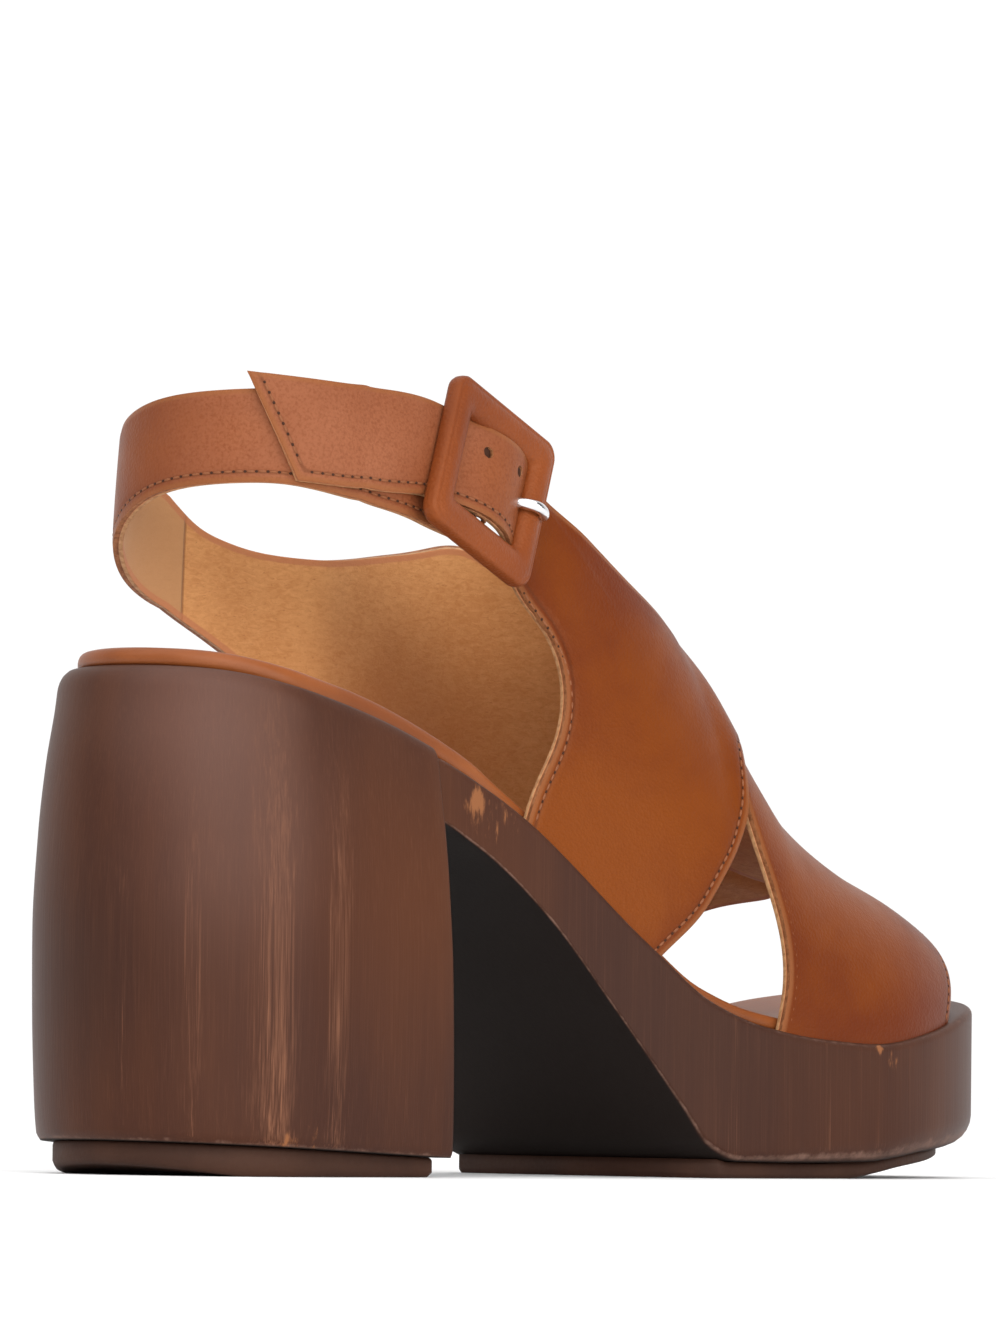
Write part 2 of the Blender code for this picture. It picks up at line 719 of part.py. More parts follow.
def prong_path():
    # From the centre bar up to the front bar, on which the point rests
    first = CENTRE_BAR_RADIUS + GAP + PRONG_RADIUS
    low = CENTRE_BAR_LIFT - PRONG_DROP
    rest = BUCKLE_LIFT + BUCKLE_THICK / 2 + GAP + PRONG_RADIUS
    return flow([(first, low), *[(along, low + rise * (rest - low)) for along, rise in PRONG["rows"]]])


def prong_tube(radius, end_scale):
    bm = bmesh.new()
    path = [Vector(p) for p in prong_path()]
    rings = []
    for i, (a, n) in enumerate(path):
        run = (path[min(i + 1, len(path) - 1)] - path[max(i - 1, 0)]).normalized()
        size = radius * (end_scale if i == len(path) - 1 else 1.0)
        ring = []
        for k in range(PRONG_SIDES):
            turn = 2 * math.pi * k / PRONG_SIDES
            side = size * math.cos(turn)
            ring.append(bm.verts.new(in_buckle(a - run.y * side, size * math.sin(turn), n + run.x * side)))
        rings.append(ring)
    for a, b in zip(rings, rings[1:]):
        for i in range(PRONG_SIDES):
            j = (i + 1) % PRONG_SIDES
            bm.faces.new((a[i], a[j], b[j], b[i]))
    bm.faces.new(rings[0])
    bm.faces.new(rings[-1])
    return bm


def upper():
    body = add_object("upper", finish_mesh(cut_bands(), "upper"), cognac, shoe)
    chape = [("chape_low_guide", chape_ring(-1)), ("chape_high_guide", chape_ring(1))]
    for name, bm in [("tail_guide", tail_strip()), *chape]:
        combine(body, add_object(name, finish_mesh(bm, name), owner=shoe), "UNION")
    bore = finish_mesh(prong_tube(PRONG_RADIUS + PRONG_PLAY, 1.0), "prong_hole_guide")
    combine(body, add_object("prong_hole_guide", bore, owner=shoe), "DIFFERENCE")


# Buckle

def rounded_rectangle(length, height, radius, corner_steps=4):
    # Points and outward directions round a rectangle with round corners
    out = []
    for sx, sy, first in ((1, 1, 0), (-1, 1, 90), (-1, -1, 180), (1, -1, 270)):
        for k in range(corner_steps + 1):
            turn = math.radians(first + 90 * k / corner_steps)
            way = Vector((math.cos(turn), math.sin(turn)))
            middle = Vector((sx * (length / 2 - radius), sy * (height / 2 - radius)))
            out.append((middle + radius * way, way))
    return out


def buckle_frame():
    # Flat bar with rounded faces swept round a rectangle, with a round bar across its middle
    path = rounded_rectangle(BUCKLE_LONG, BUCKLE_TALL, BUCKLE_CORNER)
    profile = BUCKLE_PROFILE["rows"]
    bm = bmesh.new()
    rings = []
    for point, way in path:
        inwards = Vector((min(max(2 * way.x, -1), 1), min(max(2 * way.y, -1), 1)))
        ring = []
        for depth, rise in profile:
            spot = point + depth * BUCKLE_BAR * inwards
            ring.append(bm.verts.new(in_buckle(spot.x, spot.y, BUCKLE_LIFT + rise * BUCKLE_THICK / 2)))
        rings.append(ring)
    for a, b in zip(rings, [*rings[1:], rings[0]]):
        for i in range(len(profile)):
            j = (i + 1) % len(profile)
            bm.faces.new((a[i], a[j], b[j], b[i]))
    bmesh.ops.triangulate(bm, faces=bm.faces)
    frame = add_object("buckle_frame", finish_mesh(bm, "buckle_frame"), cognac, shoe)
    combine(frame, add_object("bar_guide", finish_mesh(centre_bar(), "bar_guide"), owner=shoe), "UNION")


def centre_bar():
    bm = bmesh.new()
    reach = BUCKLE_TALL / 2 - BUCKLE_BAR / 2
    radius = CENTRE_BAR_RADIUS
    bmesh.ops.create_cone(
        bm, cap_ends=True, segments=BAR_SIDES, radius1=radius, radius2=radius, depth=2 * reach,
    )
    for v in bm.verts:
        v.co = in_buckle(v.co.x, v.co.z, CENTRE_BAR_LIFT + v.co.y)
    return bm


def buckle_prong():
    prong = prong_tube(PRONG_RADIUS, PRONG_POINT)
    add_object("buckle_prong", finish_mesh(prong, "buckle_prong"), steel, shoe)


# Clear the scene
for old in list(bpy.data.objects):
    bpy.data.objects.remove(old, do_unlink=True)

wood = material("dark_wood", (0.12, 0.055, 0.035), 0.4)
rubber = material("brown_rubber", (0.06, 0.03, 0.022), 0.75)
footbed_leather = material("footbed_leather", (0.36, 0.13, 0.045), 0.5)
cognac = material("cognac_leather", (0.33, 0.105, 0.03), 0.4)
steel = material("polished_steel", (0.75, 0.75, 0.76), 0.15, 1.0)

# The shoe's origin is on the floor under the middle of its box
shoe = bpy.data.objects.new("shoe", None)
bpy.context.collection.objects.link(shoe)
shoe.location = (-LENGTH / 2 * MM, 0.0, 0.0)

platform_sole()
forefoot_outsole()
heel_tip()
insole()
upper()
buckle_frame()
buckle_prong()
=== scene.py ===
import math

import bmesh
import bpy
import numpy as np
from mathutils import Matrix, Vector


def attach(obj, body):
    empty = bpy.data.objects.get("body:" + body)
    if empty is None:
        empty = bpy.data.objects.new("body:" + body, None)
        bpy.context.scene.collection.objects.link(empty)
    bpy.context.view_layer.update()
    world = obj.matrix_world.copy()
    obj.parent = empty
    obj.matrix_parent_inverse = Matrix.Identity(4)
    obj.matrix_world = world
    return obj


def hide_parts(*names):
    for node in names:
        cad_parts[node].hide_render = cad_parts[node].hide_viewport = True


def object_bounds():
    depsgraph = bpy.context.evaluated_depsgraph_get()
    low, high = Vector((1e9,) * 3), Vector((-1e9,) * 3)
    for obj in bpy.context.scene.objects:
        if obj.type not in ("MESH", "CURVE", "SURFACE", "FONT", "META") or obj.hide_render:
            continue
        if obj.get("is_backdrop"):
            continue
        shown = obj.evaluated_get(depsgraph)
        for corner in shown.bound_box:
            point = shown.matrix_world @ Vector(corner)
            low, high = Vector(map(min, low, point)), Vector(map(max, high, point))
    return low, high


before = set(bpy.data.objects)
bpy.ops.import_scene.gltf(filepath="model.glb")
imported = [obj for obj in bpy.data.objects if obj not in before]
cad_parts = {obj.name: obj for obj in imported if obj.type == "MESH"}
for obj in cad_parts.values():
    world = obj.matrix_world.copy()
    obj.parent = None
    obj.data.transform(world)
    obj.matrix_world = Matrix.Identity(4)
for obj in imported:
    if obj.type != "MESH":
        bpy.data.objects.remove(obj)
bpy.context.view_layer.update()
print("frame loaded:", ", ".join(sorted(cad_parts)))

# Platform slingback sandal, right shoe. All sizes are millimetres on the shoe:
# along from the heel back, across to the inner side, up from the floor.
mm = 0.001
shoe = {
    "length": 240.0, "ballAlong": 180.0, "ballHalf": 42.0, "toeFullness": 2.1, "toeSwing": 3.0,
    "heelRadius": 34.0, "loopAxis": 46.5, "loopRadius": 26.6, "upperGap": 0.8, "spineEnd": 205.0,
}
footbed = {
    "columns": ("along", "rim"),
    "rows": (
        (0, 98.0), (14, 96.6), (30, 93.2), (50, 88.2), (68, 81.8), (90, 71.0), (123, 45.0),
        (137, 34.8), (150, 30.2), (165, 28.0), (180, 27.2), (200, 29.8), (218, 33.8), (240, 37.2),
    ),
}
platform = {
    "columns": ("along", "underside", "lateral", "medial", "corner"),
    "rows": (
        (50, 73.0, 27.5, 27.5, 0.8), (70, 68.6, 28.2, 27.8, 0.8), (77, 65.2, 28.5, 27.9, 0.8),
        (84, 61.2, 28.9, 28.0, 0.8), (98, 50.0, 30.4, 29.8, 0.8), (113, 33.5, 32.8, 33.2, 0.8),
        (130, 13.4, 36.2, 38.2, 1.2), (136, 6.2, 37.4, 39.6, 1.6), (143, 3.4, 38.8, 40.8, 2.0),
        (158, 3.2, 41.0, 42.0, 3.0), (180, 3.4, 42.0, 42.0, 4.0), (200, 5.2, 42.0, 42.0, 5.4),
        (220, 6.6, 42.0, 42.0, 6.0), (240, 8.2, 42.0, 42.0, 6.0),
    ),
}
last = {
    "columns": ("along", "inset", "ridge", "lean", "fullness"),
    "rows": (
        (45, -1.0, 194.0, 0, 0.45), (70, -0.4, 187.0, 0, 0.45), (90, 2.0, 174.0, 0, 0.45),
        (110, 2.0, 153.0, 0, 0.55), (130, 2.0, 130.2, 0, 0.70), (150, 2.0, 106.4, 1, 0.85),
        (160, 2.1, 91.4, 1, 0.88), (170, 2.2, 79.0, 2, 0.90), (190, 2.3, 65.3, 3, 0.85),
        (205, 2.9, 58.8, 4, 0.75), (225, 4.2, 48.8, 5, 0.65),
    ),
}


def curveThrough(xs, ys):
    # smooth curve through points, with no overshoot between them
    xs, ys = np.array(xs, float), np.array(ys, float)
    rises = np.diff(ys) / np.diff(xs)
    before, after = rises[:-1], rises[1:]
    turning = before * after <= 0
    inner = np.where(turning, 0.0, 2 * before * after / np.where(turning, 1.0, before + after))
    slopes = np.concatenate((rises[:1], inner, rises[-1:]))

    def at(x):
        x = np.clip(np.asarray(x, float), xs[0], xs[-1])
        i = np.clip(np.searchsorted(xs, x, side="right") - 1, 0, len(xs) - 2)
        width = xs[i + 1] - xs[i]
        t = (x - xs[i]) / width
        return (
            ys[i] * (1 + 2 * t) * (1 - t) ** 2 + slopes[i] * width * t * (1 - t) ** 2
            + ys[i + 1] * t * t * (3 - 2 * t) + slopes[i + 1] * width * t * t * (t - 1)
        )

    return at


def columnCurve(table, name):
    column = table["columns"].index(name)
    return curveThrough([row[0] for row in table["rows"]], [row[column] for row in table["rows"]])


def flow(points, steps):
    # points along a smooth curve through given points
    points = np.array(points, float)
    ends = np.concatenate((points[:1], points, points[-1:]))
    t = np.arange(steps)[:, None] / steps
    weights = (
        (-t + 2 * t * t - t ** 3) / 2, (2 - 5 * t * t + 3 * t ** 3) / 2,
        (t + 4 * t * t - 3 * t ** 3) / 2, (-t * t + t ** 3) / 2,
    )
    pieces = [sum(w * ends[i + k] for k, w in enumerate(weights)) for i in range(len(points) - 1)]
    return np.concatenate((*pieces, points[-1:]))


def ease(t):
    t = np.clip(t, 0.0, 1.0)
    return t * t * (3 - 2 * t)


def lengths(spots):
    return np.concatenate(([0.0], np.cumsum(np.linalg.norm(np.diff(spots, axis=0), axis=1))))


def sampled(at, reach, line):
    # points of a line at distances along it
    return np.stack([np.interp(at, reach, line[:, k]) for k in range(line.shape[1])], -1)


rimAt = columnCurve(footbed, "rim")
undersideAt = columnCurve(platform, "underside")
cornerAt = columnCurve(platform, "corner")
lateralAt = columnCurve(platform, "lateral")
medialAt = columnCurve(platform, "medial")
lastCurves = [columnCurve(last, name) for name in last["columns"][1:]]


def planSide(x, side):
    # edge of the sole seen from above, side -1 is lateral and 1 medial
    x = np.asarray(x, float)
    reach = np.clip((x - shoe["ballAlong"]) / (shoe["length"] - shoe["ballAlong"]), 0, 1)
    toe = shoe["toeSwing"] * reach ** 2 + side * shoe["ballHalf"] * np.sqrt(1 - reach ** shoe["toeFullness"])
    return np.where(x <= shoe["ballAlong"], side * (lateralAt(x) if side < 0 else medialAt(x)), toe)


# Surface of the last: share 0 is the lateral rim, 1 the medial rim

def section(x):
    inset, ridge, lean, fullness = [curve(x) for curve in lastCurves]
    base, lateral, medial = rimAt(x) + shoe["upperGap"], -planSide(x, -1) - inset, planSide(x, 1) - inset
    return base, lateral, medial, ridge, lean, fullness


def freeSide(x, share):
    base, lateral, medial, ridge, lean, fullness = section(x)
    turn = math.pi * share
    across = np.sign(np.cos(turn)) * np.abs(np.cos(turn)) ** fullness
    half = np.where(across > 0, lateral + lean, medial - lean)
    return np.stack((x + 0 * share, lean - half * across, base + (ridge - base) * np.sin(turn)), -1)


def shareAt(x, height):
    base, _, _, ridge, _, _ = section(np.asarray(x, float))
    return np.arcsin((height - base) / (ridge - base)) / math.pi


def normalsOf(surface, x, share):
    # outward ways, from half steps along and around
    along = surface(x + 0.5, share) - surface(x - 0.5, share)
    around = surface(x, share + 0.004) - surface(x, share - 0.004)
    out = np.cross(along, around)
    return out / np.linalg.norm(out, axis=-1, keepdims=True)


buckle = {
    "along": 77.6, "height": 134.9, "slope": 23.0, "long": 33.4, "tall": 32.0, "bar": 6.2, "topBar": 7.0,
    "thick": 3.8, "corner": 3.4, "innerCorner": 1.0, "lift": 5.3, "barRadius": 1.1, "barLift": 3.5,
    "flatReach": 17.0,
}


def buckleAxes():
    # centre on the last, along the strap to the toe, up across it, outwards
    x = np.array([buckle["along"]])
    share = shareAt(x, buckle["height"])
    out = normalsOf(freeSide, x, share)[0]
    slope = math.radians(buckle["slope"])
    along = np.array((math.cos(slope), 0.0, -math.sin(slope)))
    along = along - along @ out * out
    along /= np.linalg.norm(along)
    return freeSide(x, share)[0], along, np.cross(out, along), out


buckleCentre, buckleAlong, buckleUp, buckleOut = buckleAxes()


def inBuckle(along, up, out):
    along, up, out = [way[..., None] for way in np.broadcast_arrays(np.asarray(along, float), up, out)]
    return buckleCentre + along * buckleAlong + up * buckleUp + out * buckleOut


def lastSide(x, share):
    # the last, pressed flat round the buckle
    point = freeSide(x, share)
    away = np.linalg.norm(point - buckleCentre, axis=-1)
    press = ease(2 - away / buckle["flatReach"]) * (share < 0.5)
    return point - (press * ((point - buckleCentre) @ buckleOut))[..., None] * buckleOut


def lastPoint(x, share):
    # the medial side runs on round the heel and forward again on the lateral side
    axis, radius = shoe["loopAxis"], shoe["loopRadius"]
    x, share = np.broadcast_arrays(np.asarray(x, float), np.asarray(share, float))
    turn = np.clip((axis - x) / radius, 0, None)
    beyond = turn > math.pi
    place = np.where(beyond, axis + radius * (turn - math.pi), np.maximum(x, axis))
    side = lastSide(place, np.where(beyond, 1 - share, share))
    bent = np.stack((axis - side[..., 1] * np.sin(turn), side[..., 1] * np.cos(turn), side[..., 2]), -1)
    return np.where(((x < axis) & ~beyond)[..., None], bent, side)


def onLast(x, share, lift=0.0):
    x, share = np.asarray(x, float), np.asarray(share, float)
    return lastPoint(x, share) + np.asarray(lift)[..., None] * normalsOf(lastPoint, x, share)


def unrolled(x):
    # place on the unrolled strap of a point on the lateral side, and the other way round
    return 2 * shoe["loopAxis"] - math.pi * shoe["loopRadius"] - x


def slingShare(place, height):
    beyond = unrolled(place) > shoe["loopAxis"]
    front = np.maximum(np.where(beyond, unrolled(place), place), shoe["loopAxis"])
    return 1 - shareAt(front, height)


# Materials

class Wire:
    # one value on its way through a material
    def __init__(self, look, socket):
        self.look = look
        self.socket = socket

    def maths(self, operation, *values):
        return self.look.node("ShaderNodeMath", {"operation": operation}, dict(enumerate(values or (self,))))

    def __add__(self, other):
        return self.maths("ADD", self, other)

    def __mul__(self, other):
        return self.maths("MULTIPLY", self, other)

    def __sub__(self, other):
        return self.maths("SUBTRACT", self, other)

    def __rsub__(self, other):
        return self.maths("SUBTRACT", other, self)

    __radd__ = __add__
    __rmul__ = __mul__


class Look:
    # one material or the world, made node by node
    def __init__(self, name, world=False, **fixed):
        self.material = (bpy.data.worlds if world else bpy.data.materials).new(name)
        self.material.use_nodes = True
        self.tree = self.material.node_tree
        self.shader = self.tree.nodes["Background" if world else "Principled BSDF"]
        for key, value in fixed.items():
            self.shader.inputs[key.replace("_", " ")].default_value = value

    def node(self, kind, settings=None, sockets=None, out=0):
        made = self.tree.nodes.new(kind)
        for key, value in (settings or {}).items():
            setattr(made, key, value)
        for key, value in (sockets or {}).items():
            self.feed(made.inputs[key], value)
        return Wire(self, made.outputs[out])

    def feed(self, socket, value):
        if isinstance(value, Wire):
            self.tree.links.new(value.socket, socket)
        else:
            socket.default_value = value

    def coords(self):
        return self.node("ShaderNodeTexCoord", out=3)

    def stretched(self, scale, turn=(0, 0, 0)):
        return self.node("ShaderNodeMapping", {}, {"Vector": self.coords(), "Scale": scale, "Rotation": turn})

    def away(self, vector, along, across, up):
        # distance from a place on the shoe
        middle = ((along - shoe["length"] / 2) * mm, across * mm, up * mm)
        return self.node("ShaderNodeVectorMath", {"operation": "DISTANCE"}, {0: vector, 1: middle}, out=1)

    def softSpot(self, centre, size):
        # soft round patch, 1 in its middle
        return self.between(self.away(self.coords(), *centre), 0.0, size * mm, 1.0, 0.0)

    def noise(self, vector, scale, detail=2.0, rough=0.5, warp=0.0):
        return self.node("ShaderNodeTexNoise", {}, {
            "Vector": vector, "Scale": scale, "Detail": detail, "Roughness": rough, "Distortion": warp,
        })

    def attribute(self, name):
        return self.node("ShaderNodeAttribute", {"attribute_name": name}, out=2)

    def between(self, value, low, high, first=0.0, second=1.0):
        return self.node("ShaderNodeMapRange", {"interpolation_type": "SMOOTHSTEP"}, {
            "Value": value, "From Min": low, "From Max": high, "To Min": first, "To Max": second,
        })

    def mix(self, share, first, second):
        full = [(*c, 1.0) if isinstance(c, tuple) else c for c in (first, second)]
        return self.node("ShaderNodeMix", {"data_type": "RGBA"}, {0: share, 6: full[0], 7: full[1]}, out=2)

    def bump(self, height, strength, distance, under=None):
        sockets = {"Height": height, "Strength": strength, "Distance": distance}
        if under:
            sockets["Normal"] = under
        return self.node("ShaderNodeBump", {}, sockets)

    def use(self, name, value):
        self.feed(self.shader.inputs[name], value)


cognac = {
    "light": (0.164, 0.0345, 0.0020), "deep": (0.108, 0.0165, 0.0014), "edge": (0.215, 0.072, 0.024),
    # strap: paler, pinker tone painted on the strap as a sheen
    "strap": (0.30, 0.108, 0.052), "furrow": (0.075, 0.017, 0.005),
    # pairs of a light and a deep tone
    "chape": ((0.225, 0.054, 0.011), (0.165, 0.036, 0.008)),
    "buckle": ((0.205, 0.048, 0.011), (0.15, 0.032, 0.008)),
    "cut": ((0.31, 0.125, 0.048), (0.19, 0.065, 0.022)),
    "thread": ((0.23, 0.076, 0.025), (0.17, 0.052, 0.016)),
    # hole: dark tone painted as shade in the needle holes and the punched holes
    "hole": ((0.045, 0.014, 0.005), (0.035, 0.011, 0.004)),
}
bandSeam = 1.9  # stitch line, in from the edge of a band


def leatherLook(name, light, deep, grain=0.25, cut=True):
    look = Look(name, Specular_IOR_Level=0.24, Specular_Tint=(1.0, 0.68, 0.46, 1.0))
    place = look.coords()
    cloud = look.noise(place, 19.0, 3.0, 0.5, 0.5)
    mottle = look.noise(place, 140.0, 4.0, 0.6)
    shade = cloud * 0.85 + mottle * 0.15
    if cut:
        toEdge = look.attribute("edgeDist")
        shade = shade + look.between(toEdge, 0.0, 9.0, 0.08, 0.0)
    tone = look.mix(look.between(shade, 0.38, 0.68), light, deep)
    if cut:
        # strap paler and pinker with a painted sheen, and flecked; darker furrow under the stitches and a lighter
        # tone along the edges
        sheenedStrap = 1 - look.between(look.attribute("place"), -0.012, 0.030)
        flecks = look.noise(place, 1700.0, 2.0, 0.6)
        tone = look.mix(sheenedStrap * (cloud * 1.25 - 0.20), tone, cognac["strap"])
        tone = look.mix(sheenedStrap * look.between(flecks, 0.40, 0.72, 0.0, 0.36), tone, deep)
        toSeam = (look.attribute("seamDist") - bandSeam).maths("ABSOLUTE")
        tone = look.mix(look.between(toSeam, 0.1, 0.6, 0.5, 0.0), tone, cognac["furrow"])
        tone = look.mix(look.between(toEdge, 0.5, 1.35, 0.7, 0.0), tone, cognac["edge"])
    look.use("Base Color", tone)
    cells = {"Vector": place, "Scale": 1500.0, "Randomness": 1.0}
    pores = look.node("ShaderNodeTexVoronoi", {"feature": "F1"}, cells)
    fine = look.noise(place, 2600.0, 2.0)
    look.use("Roughness", 0.34 + mottle * 0.14 + fine * 0.06)
    soft = look.bump(mottle, 0.10, 0.0012)
    look.use("Normal", look.bump(pores + fine * 0.6, grain, 0.00022, soft))
    return look.material


hide = {
    "light": (0.62, 0.305, 0.112), "deep": (0.48, 0.205, 0.064), "fleck": (0.30, 0.11, 0.032),
    "smooth": (0.46, 0.24, 0.105), "low": (0.36, 0.105, 0.022), "rim": (0.46, 0.17, 0.075),
    "seam": 0.0510, "seamLine": (0.14, 0.05, 0.018), "cut": ((0.46, 0.25, 0.115), (0.32, 0.155, 0.065)),
}


def liningLook():
    look = Look("naturalLining", Specular_IOR_Level=0.22, Sheen_Weight=0.12, Sheen_Roughness=0.5)
    place = look.coords()
    cloud = look.noise(place, 42.0, 4.0, 0.6)
    fibre = look.noise(look.stretched((1.0, 1.0, 2.4), (0.4, 0.9, 0.2)), 520.0, 5.0, 0.68, 0.8)
    fleck = look.noise(look.stretched((1.0, 1.0, 3.2), (0.2, 0.7, 0.4)), 900.0, 3.0, 0.6, 0.5)
    along = look.attribute("place")
    behind = look.between(along, hide["seam"] - 0.0003, hide["seam"], 1.0, 0.0)
    tone = look.mix(look.between(cloud * 0.4 + fibre * 0.6, 0.34, 0.66), hide["light"], hide["deep"])
    tone = look.mix(look.between(fleck, 0.60, 0.74) * 0.55, tone, hide["fleck"])
    # painted shade: darker, deeper orange low and forward inside the shoe
    tone = look.mix(look.softSpot((112, 34, 70), 62) * 0.85, tone, hide["low"])
    tone = look.mix(behind * 0.85, tone, hide["smooth"])
    line = look.between((along - hide["seam"]).maths("ABSOLUTE"), 0.00008, 0.0005, 1.0, 0.0)
    tone = look.mix(line * 0.6, tone, hide["seamLine"])
    rim = look.between(look.attribute("edgeDist"), 1.1, 1.5, 0.8, 0.0)
    look.use("Base Color", look.mix(rim, tone, hide["rim"]))
    look.use("Roughness", 0.60 + fibre * 0.2)
    nap = look.noise(place, 1900.0, 3.0)
    look.use("Normal", look.bump(fibre * 0.8 + fleck * 0.4 + nap * 0.4 - line * 1.5, 0.34, 0.0004))
    return look.material


def cutLook(name, colour, deep):
    look = Look(name, Specular_IOR_Level=0.3)
    layers = look.noise(look.coords(), 900.0, 3.0, 0.6)
    look.use("Base Color", look.mix(look.between(layers, 0.35, 0.65), colour, deep))
    look.use("Roughness", 0.55 + layers * 0.2)
    look.use("Normal", look.bump(layers, 0.3, 0.0002))
    return look.material


def footbedLook():
    tint = (1.0, 0.82, 0.70, 1.0)
    look = Look("footbedLeather", Specular_IOR_Level=0.3, Coat_Roughness=0.3, Specular_Tint=tint)
    place = look.coords()
    cloud = look.noise(place, 30.0, 3.0, 0.55)
    fine = look.noise(place, 1500.0, 3.0)
    shade = look.between(cloud, 0.35, 0.68)
    look.use("Base Color", look.mix(shade, (0.25, 0.071, 0.018), (0.185, 0.048, 0.011)))
    look.use("Roughness", 0.36 + cloud * 0.15)
    look.use("Coat Weight", 0.02 + cloud * 0.06)
    look.use("Normal", look.bump(fine, 0.22, 0.0002))
    return look.material


wood = {
    "dark": (0.042, 0.0138, 0.0076), "warm": (0.060, 0.0198, 0.0092), "paintedSheen": (0.150, 0.076, 0.058),
    "glow": (0.082, 0.0245, 0.0080), "streak": (0.20, 0.082, 0.043), "shade": (0.026, 0.0112, 0.0082),
    # under: near-black, painted shade for the underside, the heel bottom and the breast face
    "worn": (0.27, 0.155, 0.115), "bare": (0.36, 0.135, 0.048), "under": (0.0075, 0.0042, 0.0032),
    # soft patches of another tone, painted shade and painted sheen among them: place on the shoe, size, strength
    "patches": (
        # the pale patches high on the heel are a painted sheen; the dark ones on the shank and heel back are
        # painted shade
        ("shade", (130, -38, 36), 80, 0.55), ("shade", (0, 0, 40), 34, 0.6), ("paintedSheen", (8, -22, 92), 30, 0.5),
        ("paintedSheen", (15, -29, 66), 34, 0.3), ("glow", (58, -34, 55), 46, 0.7),
    ),
    # small places rubbed bare: along, across, up, size
    "rubbed": ((77.9, -28.6, 73.1, 3.4), (180.0, -42.0, 26.4, 1.7), (25.0, -33.0, 6.2, 3.2)),
    # bundles of brush lines down the sides: along, across, width, strength
    "bundles": (
        (22.0, -31.8, 10.5, 0.85), (36.7, -34.0, 6.5, 0.75), (1.7, -10.7, 3.2, 0.55), (9.0, -23.0, 4.2, 0.6),
        (56.0, -34.0, 14.0, 0.35), (180.6, -42.0, 3.0, 0.4), (141.0, -37.5, 4.0, 0.55),
        (190.5, -41.5, 4.0, 0.5), (164.0, -41.0, 8.0, 0.45),
    ),
}


def woodLook():
    look = Look("brushedWood", Specular_IOR_Level=0.18, Specular_Tint=(1.0, 0.82, 0.74, 1.0))
    tall = look.stretched((1.0, 1.0, 0.014), (0, 0.05, 0))
    cloud = look.noise(look.stretched((1.0, 1.0, 0.4)), 32.0, 3.0, 0.5)
    drift = look.noise(tall, 150.0, 3.0, 0.6, 0.1)
    lines = look.noise(tall, 1500.0, 4.0, 0.75)
    hairs = look.noise(look.stretched((1.0, 1.0, 0.010), (0, 0.05, 0)), 3000.0, 3.0, 0.7)
    ends = look.noise(look.stretched((1.0, 1.0, 0.12)), 260.0, 3.0, 0.6)
    tone = look.mix(look.between(cloud * 0.7 + drift * 0.3, 0.38, 0.66), wood["dark"], wood["warm"])
    for tint, centre, size, strength in wood["patches"]:
        tone = look.mix(look.softSpot(centre, size) * strength, tone, wood[tint])
    tone = look.mix(look.between(hairs, 0.45, 0.8) * 0.10, tone, wood["streak"])
    # brush lines, strongest low down
    flat, bundle = look.stretched((1.0, 1.0, 0.0)), 0.12
    for along, across, width, strength in wood["bundles"]:
        bundle = look.between(look.away(flat, along, across, 0.0), 0.0, width * mm, strength, 0.0) + bundle
    brushed = look.between(bundle * 0.34 + lines * 0.6 + drift * 0.3 + ends * 0.25, 0.75, 1.08)
    height = look.node("ShaderNodeSeparateXYZ", {}, {0: look.coords()}, out=2)
    share = brushed * look.between(hairs, 0.28, 0.66) * look.between(height, 0.045, 0.092, 0.8, 0.2)
    tone = look.mix(share, tone, wood["streak"])
    # worn edges and rubbed places
    chips = look.noise(look.coords(), 330.0, 4.0, 0.7)
    worn = look.between(look.attribute("wear") * 1.25 + chips * 0.85, 1.12, 1.55)
    tone = look.mix(worn * 0.6, tone, wood["worn"])
    scratches = look.noise(look.stretched((1.0, 1.0, 0.25), (0, 0.35, 0)), 700.0, 4.0, 0.7)
    for along, across, up, size in wood["rubbed"]:
        beside = look.softSpot((along + 4, across, up - 3), size * 4.5)
        rubbed = look.softSpot((along, across, up), size * 1.2) * 0.5 + beside * 0.34
        tone = look.mix(look.between(rubbed + scratches * 1.2, 0.93, 1.22) * 0.55, tone, wood["bare"])
    # painted shade: the underside and the breast face coloured near-black
    look.use("Base Color", look.mix(look.attribute("under"), tone, wood["under"]))
    look.use("Roughness", 0.40 + lines * 0.12 + worn * 0.12 + look.attribute("under") * 0.25)
    look.use("Normal", look.bump(lines * 0.7 + hairs * 0.3, 0.12, 0.0005))
    return look.material


def rubberLook():
    look = Look("brownRubber", Specular_IOR_Level=0.25, Specular_Tint=(1.0, 0.85, 0.75, 1.0))
    place = look.coords()
    cloud = look.noise(place, 60.0, 3.0)
    fine = look.noise(place, 1200.0, 3.0)
    shade = look.between(cloud, 0.35, 0.65)
    look.use("Base Color", look.mix(shade, (0.054, 0.0215, 0.0125), (0.038, 0.0150, 0.0092)))
    look.use("Roughness", 0.56 + fine * 0.2)
    look.use("Normal", look.bump(fine, 0.18, 0.0003))
    return look.material


def steelLook():
    look = Look("polishedSteel", Metallic=1.0)
    smear = look.noise(look.coords(), 500.0, 3.0)
    look.use("Base Color", look.mix(smear, (0.80, 0.80, 0.81), (0.66, 0.66, 0.68)))
    look.use("Roughness", 0.10 + smear * 0.10)
    return look.material


def plainLook(name, colour, deep, roughness):
    look = Look(name, Specular_IOR_Level=0.3)
    fuzz = look.noise(look.coords(), 1600.0, 2.0)
    look.use("Base Color", look.mix(fuzz, colour, deep))
    look.use("Roughness", roughness + fuzz * 0.15)
    look.use("Normal", look.bump(fuzz, 0.3, 0.0002))
    return look.material


